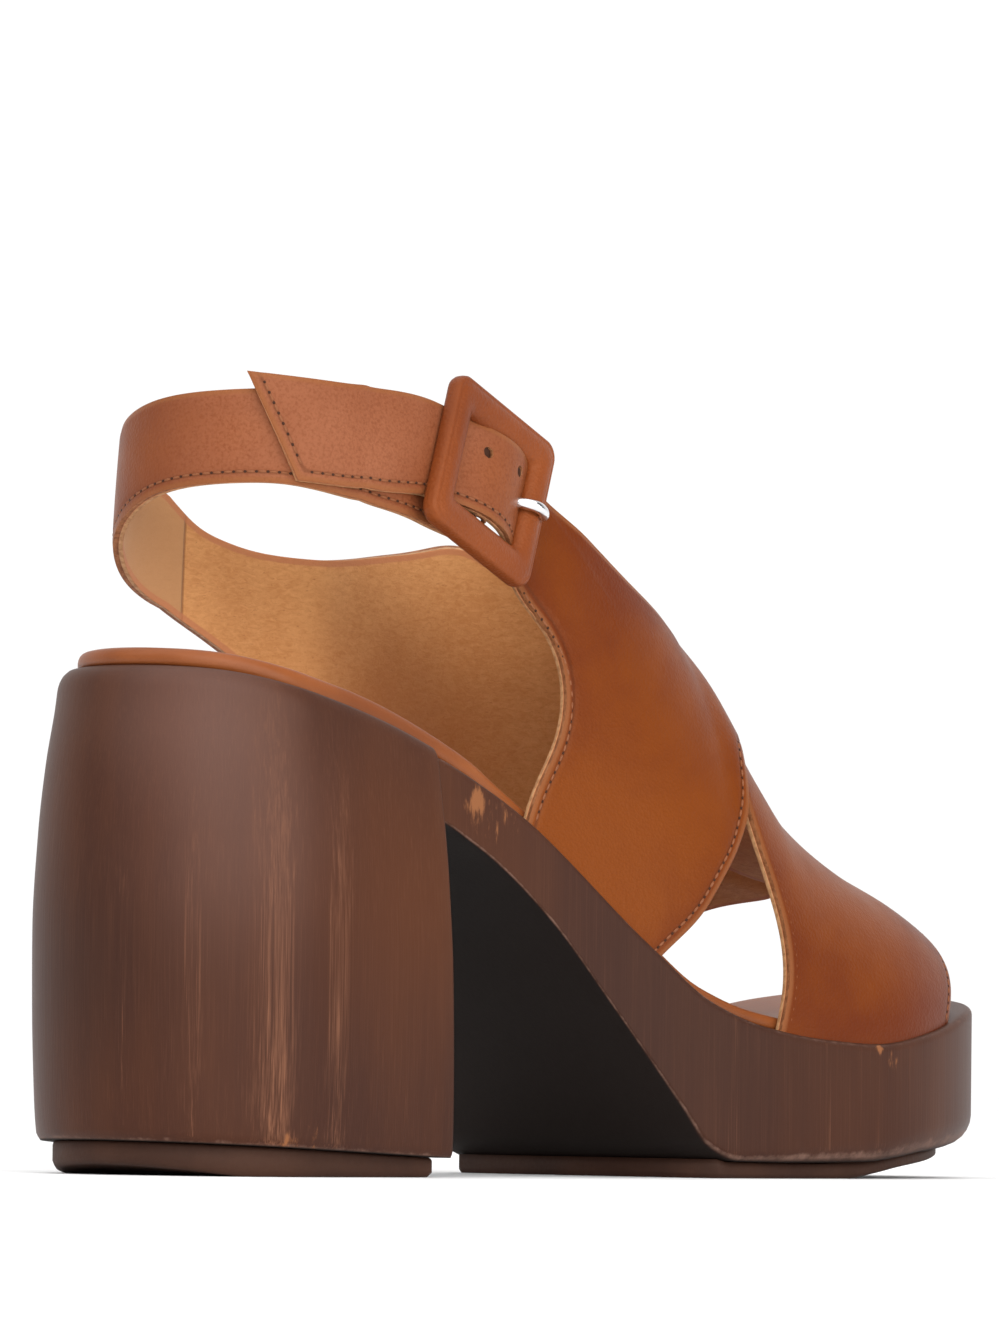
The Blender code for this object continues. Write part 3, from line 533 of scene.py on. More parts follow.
leather = leatherLook("cognacLeather", cognac["light"], cognac["deep"])
strapLeather = leatherLook("strapLeather", *cognac["chape"], 0.4)
buckleLeather = leatherLook("buckleLeather", *cognac["buckle"], 0.4, False)
lining = liningLook()
cutEdge = cutLook("cutLeather", *cognac["cut"])
liningEdge = cutLook("cutLining", *hide["cut"])
thread = plainLook("tanThread", *cognac["thread"], 0.5)
holeShadeLook = plainLook("paintedHoleShade", *cognac["hole"], 0.8)
footbedLeather = footbedLook()
brushedWood = woodLook()
rubber = rubberLook()
steel = steelLook()
print("materials made")


# Pieces

def inScene(name, data):
    made = bpy.data.objects.new(name, data)
    bpy.context.collection.objects.link(made)
    return made


def meshObject(name, bm, materials):
    mesh = bpy.data.meshes.new(name)
    bm.to_mesh(mesh)
    bm.free()
    for made in materials:
        mesh.materials.append(made)
    return inScene(name, mesh)


def facing(way, spot):
    # place with its own up turned along a way
    return Matrix.Translation(spot) @ way.to_track_quat("Z", "Y").to_matrix().to_4x4()


def thicken(piece, thick, offset):
    # makes a sheet solid, with its second material on the cut edges
    solid = piece.modifiers.new("thickness", "SOLIDIFY")
    solid.thickness = thick * mm
    solid.offset = offset
    solid.material_offset_rim = 1


def addPiece(name, bm, materials, node):
    # takes a bmesh in shoe millimetres into the scene
    bmesh.ops.translate(bm, vec=(-shoe["length"] / 2, 0, 0), verts=bm.verts)
    bmesh.ops.scale(bm, vec=(mm, mm, mm), verts=bm.verts)
    piece = meshObject(name, bm, materials)
    piece.data.shade_smooth()
    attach(piece, "root")
    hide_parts(node)
    return piece


def gridOf(bm, columns, rows, place, layers=None):
    # grid of cells whose corners are moved to place(column, row)
    layers = layers or {}
    for name in layers:
        if name not in bm.verts.layers.float:
            bm.verts.layers.float.new(name)
    made = bmesh.ops.create_grid(bm, x_segments=columns, y_segments=rows, size=0.5)["verts"]
    flat = np.array([v.co[:2] for v in made]) + 0.5
    i = np.rint(flat[:, 0] * columns).astype(int)
    j = np.rint(flat[:, 1] * rows).astype(int)
    for v, point in zip(made, place(i, j)):
        v.co = point
    for name, value in layers.items():
        layer = bm.verts.layers.float[name]
        for v, number in zip(made, value(i, j)):
            v[layer] = number
    return made


def loft(rings, layers=None, closed=True):
    # skin over rings of equal count, with a value for each ring in every layer
    bm = bmesh.new()
    rings = np.array(rings, float)
    count = rings.shape[1]
    values = {
        name: (lambda i, j, per=np.array(numbers, float): per[j]) for name, numbers in (layers or {}).items()
    }
    gridOf(bm, count, len(rings) - 1, lambda i, j: rings[j, i % count], values)
    bmesh.ops.remove_doubles(bm, verts=bm.verts, dist=0.0005)
    if closed:
        openEdges = [e for e in bm.edges if e.is_boundary]
        if openEdges:
            bmesh.ops.holes_fill(bm, edges=openEdges, sides=0)
    bmesh.ops.recalc_face_normals(bm, faces=bm.faces)
    if bm.calc_volume(signed=True) < 0:
        bmesh.ops.reverse_faces(bm, faces=bm.faces)
    return bm


# Wooden sole

heel = {
    "breast": 66.0, "flare": 3.0, "sideShare": 0.6, "baseBack": 6.8, "baseSlope": 0.044, "round": 1.0,
    "arcSteps": 60, "sideSteps": 12, "breastSteps": 9, "cornerSteps": 5, "levels": 46,
    "breastTop": 82.0, "wornRun": 1.6, "wornFrom": 26.0, "shadeHalf": 33.0, "shadeRun": 3.0,
    "topSteps": (2.0, 6.0, 12.0),
    "closeLevels": (0.004, 0.008, 0.015, 0.025, 0.95, 0.965, 0.975, 0.982, 0.988, 0.994),
    "columns": ("level", "inset"),
    "rows": (
        (0.0, 2.6), (0.015, 1.6), (0.12, 0.8), (0.28, 0.2), (0.45, 0.0), (0.65, 1.0), (0.8, 2.6),
        (0.92, 4.6), (0.965, 5.2), (0.988, 6.2), (1.0, 7.4),
    ),
}


def heelBase(x):
    return heel["baseBack"] - heel["baseSlope"] * x


def heelOutline(front, inset, sideInset, corner=heel["round"]):
    # lateral side, round back, medial side and the straight breast with small round corners
    radius, half = shoe["heelRadius"] - inset, shoe["heelRadius"] - sideInset
    axis = shoe["heelRadius"]
    run = np.linspace(front - corner, axis, heel["sideSteps"], endpoint=False)
    turn = np.linspace(0, math.pi, heel["arcSteps"] + 1)
    arc = np.stack((axis - radius * np.sin(turn), -half * np.cos(turn)), -1)
    bend = np.linspace(0, math.pi / 2, heel["cornerSteps"])[1:-1]
    bendOut = np.stack((front - corner + corner * np.cos(bend), -half + corner - corner * np.sin(bend)), -1)
    breast = np.linspace((front, half - corner), (front, -half + corner), heel["breastSteps"])
    lateral = np.stack((run, np.full(len(run), -half)), -1)
    medial = lateral[::-1] * (1, -1)
    return np.concatenate((lateral, arc, medial, (bendOut * (1, -1))[::-1], breast, bendOut))


def woodenHeel():
    insetAt = columnCurve(heel, "inset")
    levels = np.unique(np.concatenate((np.linspace(0, 1, heel["levels"]), heel["closeLevels"])))
    rings, wear = [], []
    for level in levels:
        inset = float(insetAt(level))
        front = heel["breast"] + heel["flare"] * (1 - level)
        plan = heelOutline(front, inset, heel["sideShare"] * inset)
        x = np.clip(plan[:, 0], 0, None)
        rings.append(np.column_stack((plan, heelBase(x) + level * (rimAt(x) - heelBase(x)))))
        lowEdge, topEdge = max(0.0, 1 - level / 0.03), max(0.0, 1 - abs(level - 0.985) / 0.012)
        wear.append(0.75 * lowEdge + 0.35 * topEdge)
    topInset = float(insetAt(1.0))
    for extra in heel["topSteps"]:
        plan = heelOutline(heel["breast"] - extra, topInset + extra, heel["sideShare"] * topInset + extra)
        rings.append(np.column_stack((plan, rimAt(plan[:, 0]))))
        wear.append(0.0)
    bm = loft(rings, {"wear": wear, "under": np.zeros(len(rings))})
    # wear on the two vertical edges of the breast, and painted shade, near-black, on the breast face and the heel
    # bottom
    wearLayer = bm.verts.layers.float["wear"]
    shadeLayer = bm.verts.layers.float["under"]
    for v in bm.verts:
        base, aside = heelBase(v.co.x), abs(v.co.y)
        below = v.co.z < float(base + 0.97 * (rimAt(v.co.x) - base))
        front = heel["breast"] + heel["flare"] * (1 - v.co.z / heel["breastTop"])
        toEdge = abs(v.co.x - front)
        if below and toEdge < heel["wornRun"] and aside > heel["wornFrom"]:
            v[wearLayer] = max(v[wearLayer], 0.55 * (1 - toEdge / heel["wornRun"]))
        if below and toEdge < 0.5 and aside < heel["shadeHalf"]:
            v[shadeLayer] = float(ease((heel["shadeHalf"] - aside) / heel["shadeRun"]))
        if v.co.z < base + 0.02:
            v[shadeLayer] = 1.0
    addPiece("woodenHeel", bm, [brushedWood], "platform_sole")


front = {
    "start": 63.0, "rimRound": 1.4, "step": 1.6, "toeSteps": 46, "cornerSteps": 7, "rimSteps": 5,
    "wallLevels": (0.06, 0.14, 0.25, 0.4, 0.55, 0.7, 0.82, 0.91, 0.97), "sink": 0.6, "sinkRun": 4.0,
    "underShares": (1.0, 0.7, 0.4, 0.2, 0.06), "topShares": (0.06, 0.3, 0.65, 1.0),
}


def forefootOutline(first, step=2.0, toeSteps=40):
    ball, tip = shoe["ballAlong"], shoe["length"]
    run = np.linspace(first, ball, round((ball - first) / step) + 1)
    toe = ball + (tip - ball) * np.sin(math.pi / 2 * np.arange(1, toeSteps) / toeSteps)
    places = np.concatenate((run, toe))
    lateral = np.stack((places, planSide(places, -1)), -1)
    medial = np.stack((places, planSide(places, 1)), -1)[::-1]
    return np.concatenate((lateral, [(tip, shoe["toeSwing"])], medial))


def insetOutline(plan, depth, roundBack=False):
    # moves a plan inwards; a straight back end keeps its place
    before, after = np.roll(plan, 1, 0), np.roll(plan, -1, 0)
    if not roundBack:
        before[0], after[-1] = plan[0], plan[-1]
    run = after - before
    run /= np.linalg.norm(run, axis=1, keepdims=True)
    moved = plan + np.stack((-run[:, 1], run[:, 0]), -1) * np.broadcast_to(depth, len(plan))[:, None]
    if not roundBack:
        moved[[0, -1], 0] = plan[[0, -1], 0]
    return moved


def middleLine(plan, first, offset=0, lean=0.0):
    # line down the middle of a plan, the same point for a place and its opposite
    x = plan[:, 0]
    opposite = x[(offset - np.arange(len(x))) % len(x)]
    shared = np.clip((x + opposite) / 2, first, shoe["spineEnd"])
    return np.stack((shared, lean * np.clip(shared - shoe["length"] / 2, 0, None)), -1)


def woodenPlatform():
    plan = forefootOutline(front["start"], front["step"], front["toeSteps"])
    x = plan[:, 0]
    under, corner = undersideAt(x), cornerAt(x)
    rims = rimAt(x) - front["sink"] * (1 - np.clip((x - heel["breast"]) / front["sinkRun"], 0, 1))
    rings, wear, dark = [], [], []

    def ring(outline, z, worn, below):
        rings.append(np.column_stack((outline, z)))
        wear.append(worn)
        dark.append(below)

    middle = middleLine(plan, front["start"], -1)
    flat = insetOutline(plan, corner)
    # the underside, painted near-black as shade, the shade fading out round the bottom corner
    for share in front["underShares"]:
        spots = flat + (middle - flat) * share
        ring(spots, undersideAt(spots[:, 0]), 0.0, 1.0)
    for turn in np.linspace(0, math.pi / 2, front["cornerSteps"]):
        share = turn / (math.pi / 2)
        ring(insetOutline(plan, corner * (1 - np.sin(turn))), under + corner * (1 - np.cos(turn)),
             0.55 * math.sin(math.pi * share) + 0.2, float(1 - ease(share * 1.6)))
    low, high = under + corner, rims - front["rimRound"]
    for level in front["wallLevels"]:
        worn = 0.3 * max(0.0, 1 - level / 0.16) + 0.25 * max(0.0, (level - 0.9) / 0.1)
        ring(plan, low + level * (high - low), worn, 0.0)
    edge = front["rimRound"]
    for turn in np.linspace(0, math.pi / 2, front["rimSteps"]):
        outline = insetOutline(plan, edge * (1 - np.cos(turn)))
        ring(outline, rims - edge * (1 - np.sin(turn)), 0.3 + 0.3 * math.sin(2 * turn), 0.0)
    flat = insetOutline(plan, edge)
    for share in front["topShares"]:
        spots = flat + (middle - flat) * share
        ring(spots, rimAt(spots[:, 0]) - front["sink"] * ease(share * 3), 0.0, 0.0)
    bm = loft(rings, {"wear": wear, "under": dark})
    addPiece("woodenPlatform", bm, [brushedWood], "platform_sole")


woodenHeel()
woodenPlatform()
print("wooden sole made")


# Rubber under heel and forefoot

tread = {
    "start": 140.0, "inset": 1.2, "gap": 0.3,
    "columns": ("along", "ground"),
    "rows": ((140, 0.0), (177, 0.0), (186, 1.0), (198, 2.4), (220, 4.0), (240, 5.4)),
    # level and inset of each ring, from the middle of the ground face up
    "rings": (
        (0.0, 30.8), (0.0, 10.8), (0.0, 1.8), (0.0, 0.8), (0.08, 0.45), (0.2, 0.1), (0.3, 0.0),
        (0.6, 0.0), (1.0, 0.0),
    ),
}
tip = {
    "inset": 4.5, "step": 1.0, "corner": 1.2, "rollEnd": 20.0, "rollRise": 3.0, "gap": 0.1,
    "rings": (
        (0.0, 8.0), (0.0, 2.0), (0.0, 0.7), (0.08, 0.4), (0.25, 0.0), (0.5, 0.0), (0.85, 0.0),
        (0.95, 0.15), (1.0, 0.4),
    ),
}


def rubberTread():
    groundAt = columnCurve(tread, "ground")
    plan = forefootOutline(tread["start"])
    x = plan[:, 0]
    top = undersideAt(x) - tread["gap"]
    ground = groundAt(x)
    rings = []
    for level, edge in tread["rings"]:
        outline = insetOutline(plan, cornerAt(x) + tread["inset"] + edge)
        rings.append(np.column_stack((outline, ground + level * (top - ground))))
    addPiece("rubberTread", loft(rings), [rubber], "forefoot_outsole")


def rubberTip():
    rings = []
    for level, edge in tip["rings"]:
        inset = tip["inset"] + edge
        plan = heelOutline(heel["breast"] + tip["step"] - edge, inset, inset, tip["corner"])
        x = plan[:, 0]
        ground = tip["rollRise"] * np.clip(1 - x / tip["rollEnd"], 0, None)
        rings.append(np.column_stack((plan, ground + level * (heelBase(x) - tip["gap"] - ground))))
    addPiece("rubberTip", loft(rings), [rubber], "heel_tip")


rubberTread()
rubberTip()
print("rubber made")


# Footbed

sock = {
    "gap": 0.15, "pad": 0.35, "heelRadius": 26.0, "arcSteps": 36, "dish": 1.0,
    "spineStart": 30.0, "spineLean": 0.02, "underInset": 3.0, "underShares": (1.0, 0.6, 0.25, 0.0),
    "topShares": (0.06, 0.14, 0.25, 0.4, 0.55, 0.7, 0.85, 1.0),
    "columns": ("along", "inset", "thick"),
    "rows": (
        (10, 1.6, 3.0), (50, 1.6, 4.0), (78, 2.2, 3.8), (90, 3.7, 3.4), (140, 3.8, 2.6), (190, 4.1, 2.6),
        (208, 5.0, 2.6), (240, 5.6, 2.6),
    ),
    "edge": (
        (0.0, 0.5), (0.12, 0.15), (0.3, 0.0), (0.5, 0.02), (0.65, 0.12), (0.8, 0.36), (0.9, 0.66),
        (0.97, 1.1), (1.0, 1.6),
    ),
}


def leatherFootbed():
    fore = forefootOutline(shoe["loopAxis"])
    fore = insetOutline(fore, columnCurve(sock, "inset")(fore[:, 0]))
    turn = np.linspace(0, math.pi / 2, sock["arcSteps"] + 1)
    radius = sock["heelRadius"]
    arc = np.stack((shoe["heelRadius"] - radius * np.cos(turn), -radius * np.sin(turn)), -1)
    plan = np.concatenate((arc, fore, (arc[1:] * (1, -1))[::-1]))
    thickAt = columnCurve(sock, "thick")
    thick = thickAt(plan[:, 0]) + sock["pad"]
    base = rimAt(plan[:, 0]) + sock["gap"]
    spine = middleLine(plan, sock["spineStart"], 0, sock["spineLean"])
    under = insetOutline(plan, sock["underInset"], True)
    rings = []
    for share in sock["underShares"]:
        spots = under + (spine - under) * share
        rings.append(np.column_stack((spots, rimAt(spots[:, 0]) + sock["gap"])))
    for level, edge in sock["edge"]:
        rings.append(np.column_stack((insetOutline(plan, edge, True), base + level * thick)))
    rimPlan = insetOutline(plan, sock["edge"][-1][1], True)
    for share in sock["topShares"]:
        spots = rimPlan + (spine - rimPlan) * share
        tops = rimAt(spots[:, 0]) + sock["gap"] + thickAt(spots[:, 0]) + sock["pad"]
        rings.append(np.column_stack((spots, tops - sock["dish"] * ease(share * 1.4))))
    addPiece("leatherFootbed", loft(rings), [footbedLeather], "insole")


leatherFootbed()
print("footbed made")


# Edges of the leather: quarter and strap in heights, bands in shares of the girth

edges = {
    "quarterBack": (
        (90.9, 64.0), (92.4, 69.0), (94.2, 75.0), (98.4, 81.4), (101.8, 88.0), (103.3, 95.5), (102.6, 101.5),
        (99.2, 106.4), (94.0, 111.4), (88.5, 117.2),
    ),
    "quarterThroat": ((97.5, 135.4), (104.0, 131.0), (116.5, 122.2), (125.2, 116.6), (135.6, 111.4)),
    "quarterFront": (
        (120.2, -0.03), (126.6, 0.008), (135.7, 0.061), (141.0, 0.102), (144.8, 0.130), (147.6, 0.158),
        (149.4, 0.183), (150.0, 0.209), (151.0, 0.242),
    ),
    "bandFront": (
        (154.0, 0.30), (161.5, 0.365), (178.0, 0.428), (195.0, 0.475), (205.0, 0.528), (204.5, 0.61),
        (199.0, 0.705), (193.0, 0.80), (189.0, 0.90), (187.0, 1.0), (186.5, 1.03),
    ),
    "vampFront": (
        (158.0, 0.70), (170.0, 0.635), (184.0, 0.58), (196.0, 0.535), (205.0, 0.47), (211.0, 0.38),
        (214.5, 0.28), (215.5, 0.18), (213.0, 0.08), (209.0, 0.0), (208.0, -0.03),
    ),
    "instepBack": ((143.0, 0.36), (147.5, 0.42)),
    "bandBack": (
        (150.0, 0.5), (149.8, 0.65), (150.6, 0.80), (152.5, 0.839), (155.0, 0.875), (156.8, 0.908),
        (156.9, 0.938), (156.2, 0.969), (154.1, 1.0), (152.5, 1.03),
    ),
    "medialBack": (
        (150.0, 0.5), (148.8, 0.65), (147.6, 0.79), (149.4, 0.85), (152.6, 0.888), (155.2, 0.918),
        (156.2, 0.943), (155.8, 0.969), (154.1, 1.0), (152.5, 1.03),
    ),
    "innerThroat": ((142.0, 0.575), (147.5, 0.52)),
    "innerFront": (
        (156.5, 0.758), (156.0, 0.791), (154.8, 0.817), (152.4, 0.842), (148.8, 0.87), (144.0, 0.898),
        (137.4, 0.939), (127.2, 0.992), (120.2, 1.03),
    ),
    "innerTop": ((53.0, 127.7), (60.0, 125.2), (72.0, 122.8), (90.0, 122.2), (108.0, 124.4), (125.0, 126.0)),
    "innerBack": ((93.6, 64.0), (92.6, 69.0), (90.6, 79.0), (84.5, 88.0), (74.0, 96.4), (61.0, 103.8)),
}
sling = {
    # place on the unrolled strap, lower and upper edge
    "rows": (
        (47.0, 110.4, 132.6), (35.0, 115.8, 138.6), (24.0, 122.3, 144.0), (4.7, 130.8, 149.2),
        (-17.0, 132.8, 150.8), (-29.0, 131.4, 150.7), (-44.0, 128.2, 149.9), (-58.0, 125.2, 148.4),
        (-71.0, 122.6, 145.4),
    ),
    # its end goes in under the tab
    "tuck": 0.5, "tuckFrom": -42.0, "tuckRun": 16.0,
}
tail = {
    # along, height of the middle, half width, lift, slant
    "rows": (
        (91.4, 128.9, 8.1, 0.9, 0.42), (89.4, 129.9, 8.1, 2.4, 0.42), (87.4, 131.0, 8.1, 4.5, 0.42),
        (84.0, 132.7, 8.1, 6.1, 0.42), (79.4, 134.9, 8.1, 6.6, 0.42), (75.0, 136.7, 8.1, 5.7, 0.42),
        (71.0, 138.2, 8.2, 3.7, 0.42), (67.6, 139.4, 8.5, 2.3, 0.40), (65.0, 140.1, 8.8, 1.9, 0.34),
        (61.0, 140.8, 9.2, 1.8, 0.22), (55.0, 141.2, 9.7, 1.8, 0.08), (46.0, 141.8, 9.9, 1.8, 0.0),
        (36.0, 142.6, 10.1, 1.8, -0.2), (28.0, 143.4, 10.4, 1.8, -0.44),
    ),
}
bands = {
    "outside": 1.1, "leather": 1.25, "liningTop": -0.18, "lining": 0.9, "cross": 1.4, "rimShare": -0.012,
    "edgeRows": (0.0, 0.5, 1.0, 1.45, 1.9, 2.35, 2.8, 3.5, 4.6), "middleRows": 26, "strapRows": 9,
    "pitch": 1.1, "seam": bandSeam, "round": 0.28, "girth": 130.0, "nearGirth": 100.0, "runStep": 0.8, "runBlur": 4,
    "crossFrom": 7.0, "crossRun": 7.5, "furrow": 0.22, "furrowHalf": 0.5, "worn": 0.2, "wornRun": 1.3,
    "borderStep": 0.35, "weld": 0.02,
    "steps": 8,  # points from one given point to the next
}


def lateralShare(x, height):
    return shareAt(np.maximum(x, shoe["loopAxis"]), height)


def mirrored(points):
    return [(x, 1 - share) for x, share in points]


def evened(line, split):
    # evens out a given run at equal distances, and finds where its split has gone
    metric = lengths(line[:, :2] * (1, bands["girth"]))
    at = np.linspace(0, metric[-1], round(metric[-1] / bands["runStep"]) + 1)
    run = sampled(at, metric, line)
    reach = 3 * bands["runBlur"]
    weights = np.exp(-0.5 * (np.arange(-reach, reach + 1) / bands["runBlur"]) ** 2)
    padded = np.concatenate((2 * run[0] - run[reach:0:-1], run, 2 * run[-1] - run[-2:-reach - 2:-1]))
    weights /= weights.sum()
    out = np.stack([np.convolve(column, weights, "valid") for column in padded.T], -1)
    return out, int(np.argmin(np.abs(at - metric[split])))


def edgeRun(heights, toShare, shares=(), split=0):
    # edge through points given as (along, height, lift) and then through points given as (along, share)
    steps = bands["steps"]
    first = flow(heights, steps)
    line = np.column_stack((first[:, 0], toShare(first[:, 0], first[:, 1]), first[:, 2]))
    if len(shares):
        ending = line[[-1 - 2 * steps, -1 - steps, -1]]
        whole = flow([*ending, *[(x, share, 0.0) for x, share in shares]], steps)
        blend = ease(np.linspace(0, 1, steps + 1))[:, None]
        line[-1 - steps:] += (whole[steps:2 * steps + 1] - line[-1 - steps:]) * blend
        line = np.concatenate((line, whole[2 * steps + 1:]))
    return evened(line, steps * split)


def wrapped(points):
    # the same lateral points, asked for by their place on the unrolled strap
    return np.stack((unrolled(points[..., 0]), 1 - points[..., 1], points[..., 2]), -1)


def trimmed(line):
    # leaves out what lies under the rim of the sole
    low, high = bands["rimShare"], 1 - bands["rimShare"]
    inside = np.flatnonzero((line[:, 1] > low - 1e-6) & (line[:, 1] < high + 1e-6))
    kept = [line[inside[0]:inside[-1] + 1]]
    for inner, outer, spot in ((inside[0], inside[0] - 1, 0), (inside[-1], inside[-1] + 1, 1)):
        if 0 <= outer < len(line):
            a, b = line[inner], line[outer]
            goal = low if b[1] < low else high
            kept.insert(spot * len(kept), [a + (b - a) * (goal - a[1]) / (b[1] - a[1])])
    return np.concatenate(kept)


class Rail:
    # curve on the last, asked for by its share of the length
    def __init__(self, *runs):
        runs = [trimmed(np.column_stack((run, np.zeros(len(run))))[:, :3]) for run in runs]
        self.line = np.concatenate(runs)
        reach = lengths(onLast(*self.line.T))
        self.size = reach[-1]
        self.part = reach / reach[-1]
        ends = np.cumsum([len(run) for run in runs])
        self.joints = [(self.part[e - 1], self.part[e]) for e in ends[:-1]]

    def at(self, t):
        return sampled(t, self.part, self.line)

    def near(self, x, share):
        away = np.hypot(self.line[:, 0] - x, (self.line[:, 1] - share) * bands["nearGirth"])
        return self.part[np.argmin(away)]


def acrossRows(width, middle):
    # distances from one edge, close together along both edges
    near = np.array(bands["edgeRows"])[:, None] + 0 * width
    share = np.linspace(0, 1, middle + 1)[1:-1, None]
    return np.concatenate((near, near[-1] + share * (width - 2 * near[-1]), (width - near)[::-1]))


def ladder(first, second, middle):
    # columns from one edge to the other, as (along, share, lift)
    spots = [onLast(*(first + (second - first) * t).T) for t in np.linspace(0, 1, 9)]
    width = sum(np.linalg.norm(q - p, axis=-1) for p, q in zip(spots, spots[1:]))
    t = (acrossRows(width, middle) / width).T[..., None]
    return first[:, None] + (second - first)[:, None] * t


def layBand(front, back, pairs, lift, gap=None):
    # leather between two rails that keep step at the pairs, with the strap's own rows where it is joined on
    pairs = np.array([(0.0, 0.0), *pairs, (1.0, 1.0)])
    mean = pairs @ (front.size, back.size)
    runs = [np.linspace(0, 1, max(3, round(n)) + 1)[:-1] for n in np.diff(mean) / 2 / bands["pitch"]]
    if gap is not None:
        ends = back.at(pairs[gap:gap + 2, 1])
        width = np.linalg.norm(np.diff(onLast(*ends.T), axis=0))
        runs[gap] = (acrossRows(np.array([width]), bands["strapRows"])[:, 0] / width)[:-1]
    places = [a + (b - a) * run[:, None] for a, b, run in zip(pairs, pairs[1:], runs)]
    places = np.concatenate((*places, pairs[-1:]))
    fronts, backs = front.at(places[:, 0]), back.at(places[:, 1])
    flat = ladder(fronts * (1, 1, 0), backs * (1, 1, 0), bands["middleRows"])
    reach = np.linalg.norm((flat - fronts[:, None])[..., :2] * (1, bands["girth"]), axis=-1)
    part = reach / reach[:, -1:]
    flat[..., 2] = backs[:, 2:] * part ** 5 + fronts[:, 2:] * (1 - part) ** 5
    flat[..., 2] += lift(flat[..., 0], flat[..., 1])
    return flat, np.cumsum([0] + [len(run) for run in runs])


def layStrap(lower, upper, root):
    # strap between two edges, from its root to its end
    reaches = [lengths(onLast(*edge.T)) for edge in (lower, upper)]
    t = np.linspace(0, 1, round((reaches[0][-1] + reaches[1][-1]) / 2 / bands["pitch"]) + 1)
    low, high = [sampled(t, reach / reach[-1], edge) for reach, edge in zip(reaches, (lower, upper))]
    flat = ladder(low, high, bands["strapRows"])
    flat[0] = root
    return flat


def signedInside(points, outline):
    # distance to a closed outline, positive inside
    inside = np.zeros(len(points), bool)
    away = np.full(len(points), 1e9)
    for a, b in zip(outline, np.roll(outline, -1, 0)):
        crosses = (a[1] > points[:, 1]) != (b[1] > points[:, 1])
        rise = b[1] - a[1] if b[1] != a[1] else 1e-9
        inside ^= crosses & (points[:, 0] < (b[0] - a[0]) * (points[:, 1] - a[1]) / rise + a[0])
        run = b - a
        t = np.clip(((points - a) @ run) / max(run @ run, 1e-9), 0, 1)
        away = np.minimum(away, np.linalg.norm(points - a - t[:, None] * run, axis=1))
    return np.where(inside, away, -away)


# Inner band with the sling strap round the heel

def unlifted(points):
    return [(*point, 0.0) for point in points]


slingUpper = [(place, high, 0.0) for place, low, high in sling["rows"]][::-1]
slingLower = [(place, low, 0.0) for place, low, high in sling["rows"]][::-1]
upperRun = edgeRun([*slingUpper, *unlifted(edges["innerTop"])], slingShare,
                   [*edges["innerThroat"], *mirrored(edges["bandBack"])])[0]
lowerRun = edgeRun([*slingLower, *unlifted(edges["innerBack"])[::-1]], slingShare)[0]
innerFront = trimmed(evened(flow([*edges["vampFront"][::-1], *edges["innerFront"]], bands["steps"]), 0)[0])
innerBack = trimmed(lowerRun[::-1])
innerRim = np.linspace(innerFront[-1], innerBack[0, :2], 12)[1:-1]
innerLow, innerHigh = Rail(innerFront, innerRim, innerBack), Rail(upperRun[::-1])
innerPairs = (
    ((158.0, 0.70), (147.5, 0.52)), ((156.5, 0.758), (141.0, 0.58)), ((148.8, 0.87), (133.0, 0.617)),
    ((126.2, 1.01), (118.0, 0.72)), ((92.6, 1.01), (88.0, 0.84)), ((74.0, 0.97), (70.0, 0.872)),
    ((59.0, 0.95), (52.0, 0.873)), ((24.0, 0.89), (24.0, 0.826)), ((-17.0, 0.86), (-17.0, 0.80)),
)
innerOutline = np.concatenate((innerLow.line, innerHigh.line[::-1]))[:, :2] * (1, bands["girth"])
innerLay, innerStops = layBand(innerLow, innerHigh, [
    (innerLow.near(*a), innerHigh.near(*b)) for a, b in innerPairs
], lambda x, share: 0.0 * x)
innerLay[..., 2] -= sling["tuck"] * ease((sling["tuckFrom"] - innerLay[..., 0]) / sling["tuckRun"])


# Outer band with the quarter and the strap through the buckle

def overInner(x, share):
    # the outer band rises over the inner one where they cross
    depth = signedInside(np.stack((x, share * bands["girth"]), -1).reshape(-1, 2), innerOutline)
    return bands["cross"] * ease((depth + bands["crossFrom"]) / bands["crossRun"]).reshape(x.shape)


tailLower = [(x - k * h, c - h, lift) for x, c, h, lift, k in tail["rows"]]
tailUpper = [(x + k * h, c + h, lift) for x, c, h, lift, k in tail["rows"]]
quarterBack = unlifted(edges["quarterBack"])
heelRun, heelSplit = edgeRun([*quarterBack, *tailLower], lateralShare, (), len(quarterBack) - 1)
throatRun, throatSplit = edgeRun([*tailUpper[::-1], *unlifted(edges["quarterThroat"])], lateralShare,
                                 [*edges["instepBack"], *edges["medialBack"]], len(tailUpper))
quarterEdge, throatEdge = heelRun[:heelSplit + 1], throatRun[throatSplit:]
outerFrontRail = Rail(evened(flow([*edges["quarterFront"], *edges["bandFront"]], bands["steps"]), 0)[0])
outerBackRail = Rail(quarterEdge, np.linspace(quarterEdge[-1], throatEdge[0], 12)[1:-1], throatEdge)
outerPairs = (
    ((150.4, 0.226), (120.0, 0.279)), ((152.8, 0.280), (135.6, 0.33)), ((163.0, 0.375), (147.5, 0.42)),
    ((195.0, 0.475), (150.0, 0.52)), ((202.5, 0.65), (148.5, 0.70)), ((193.0, 0.80), (147.6, 0.79)),
)
outerLay, outerStops = layBand(outerFrontRail, outerBackRail, [
    (outerFrontRail.near(148.2, 0.166), outerBackRail.joints[0][0]),
    (outerFrontRail.near(149.8, 0.198), outerBackRail.joints[1][1]),
    *[(outerFrontRail.near(*a), outerBackRail.near(*b)) for a, b in outerPairs],
], overInner, 1)
outerGap, sewnEnd = outerStops[1:3], outerStops[4]
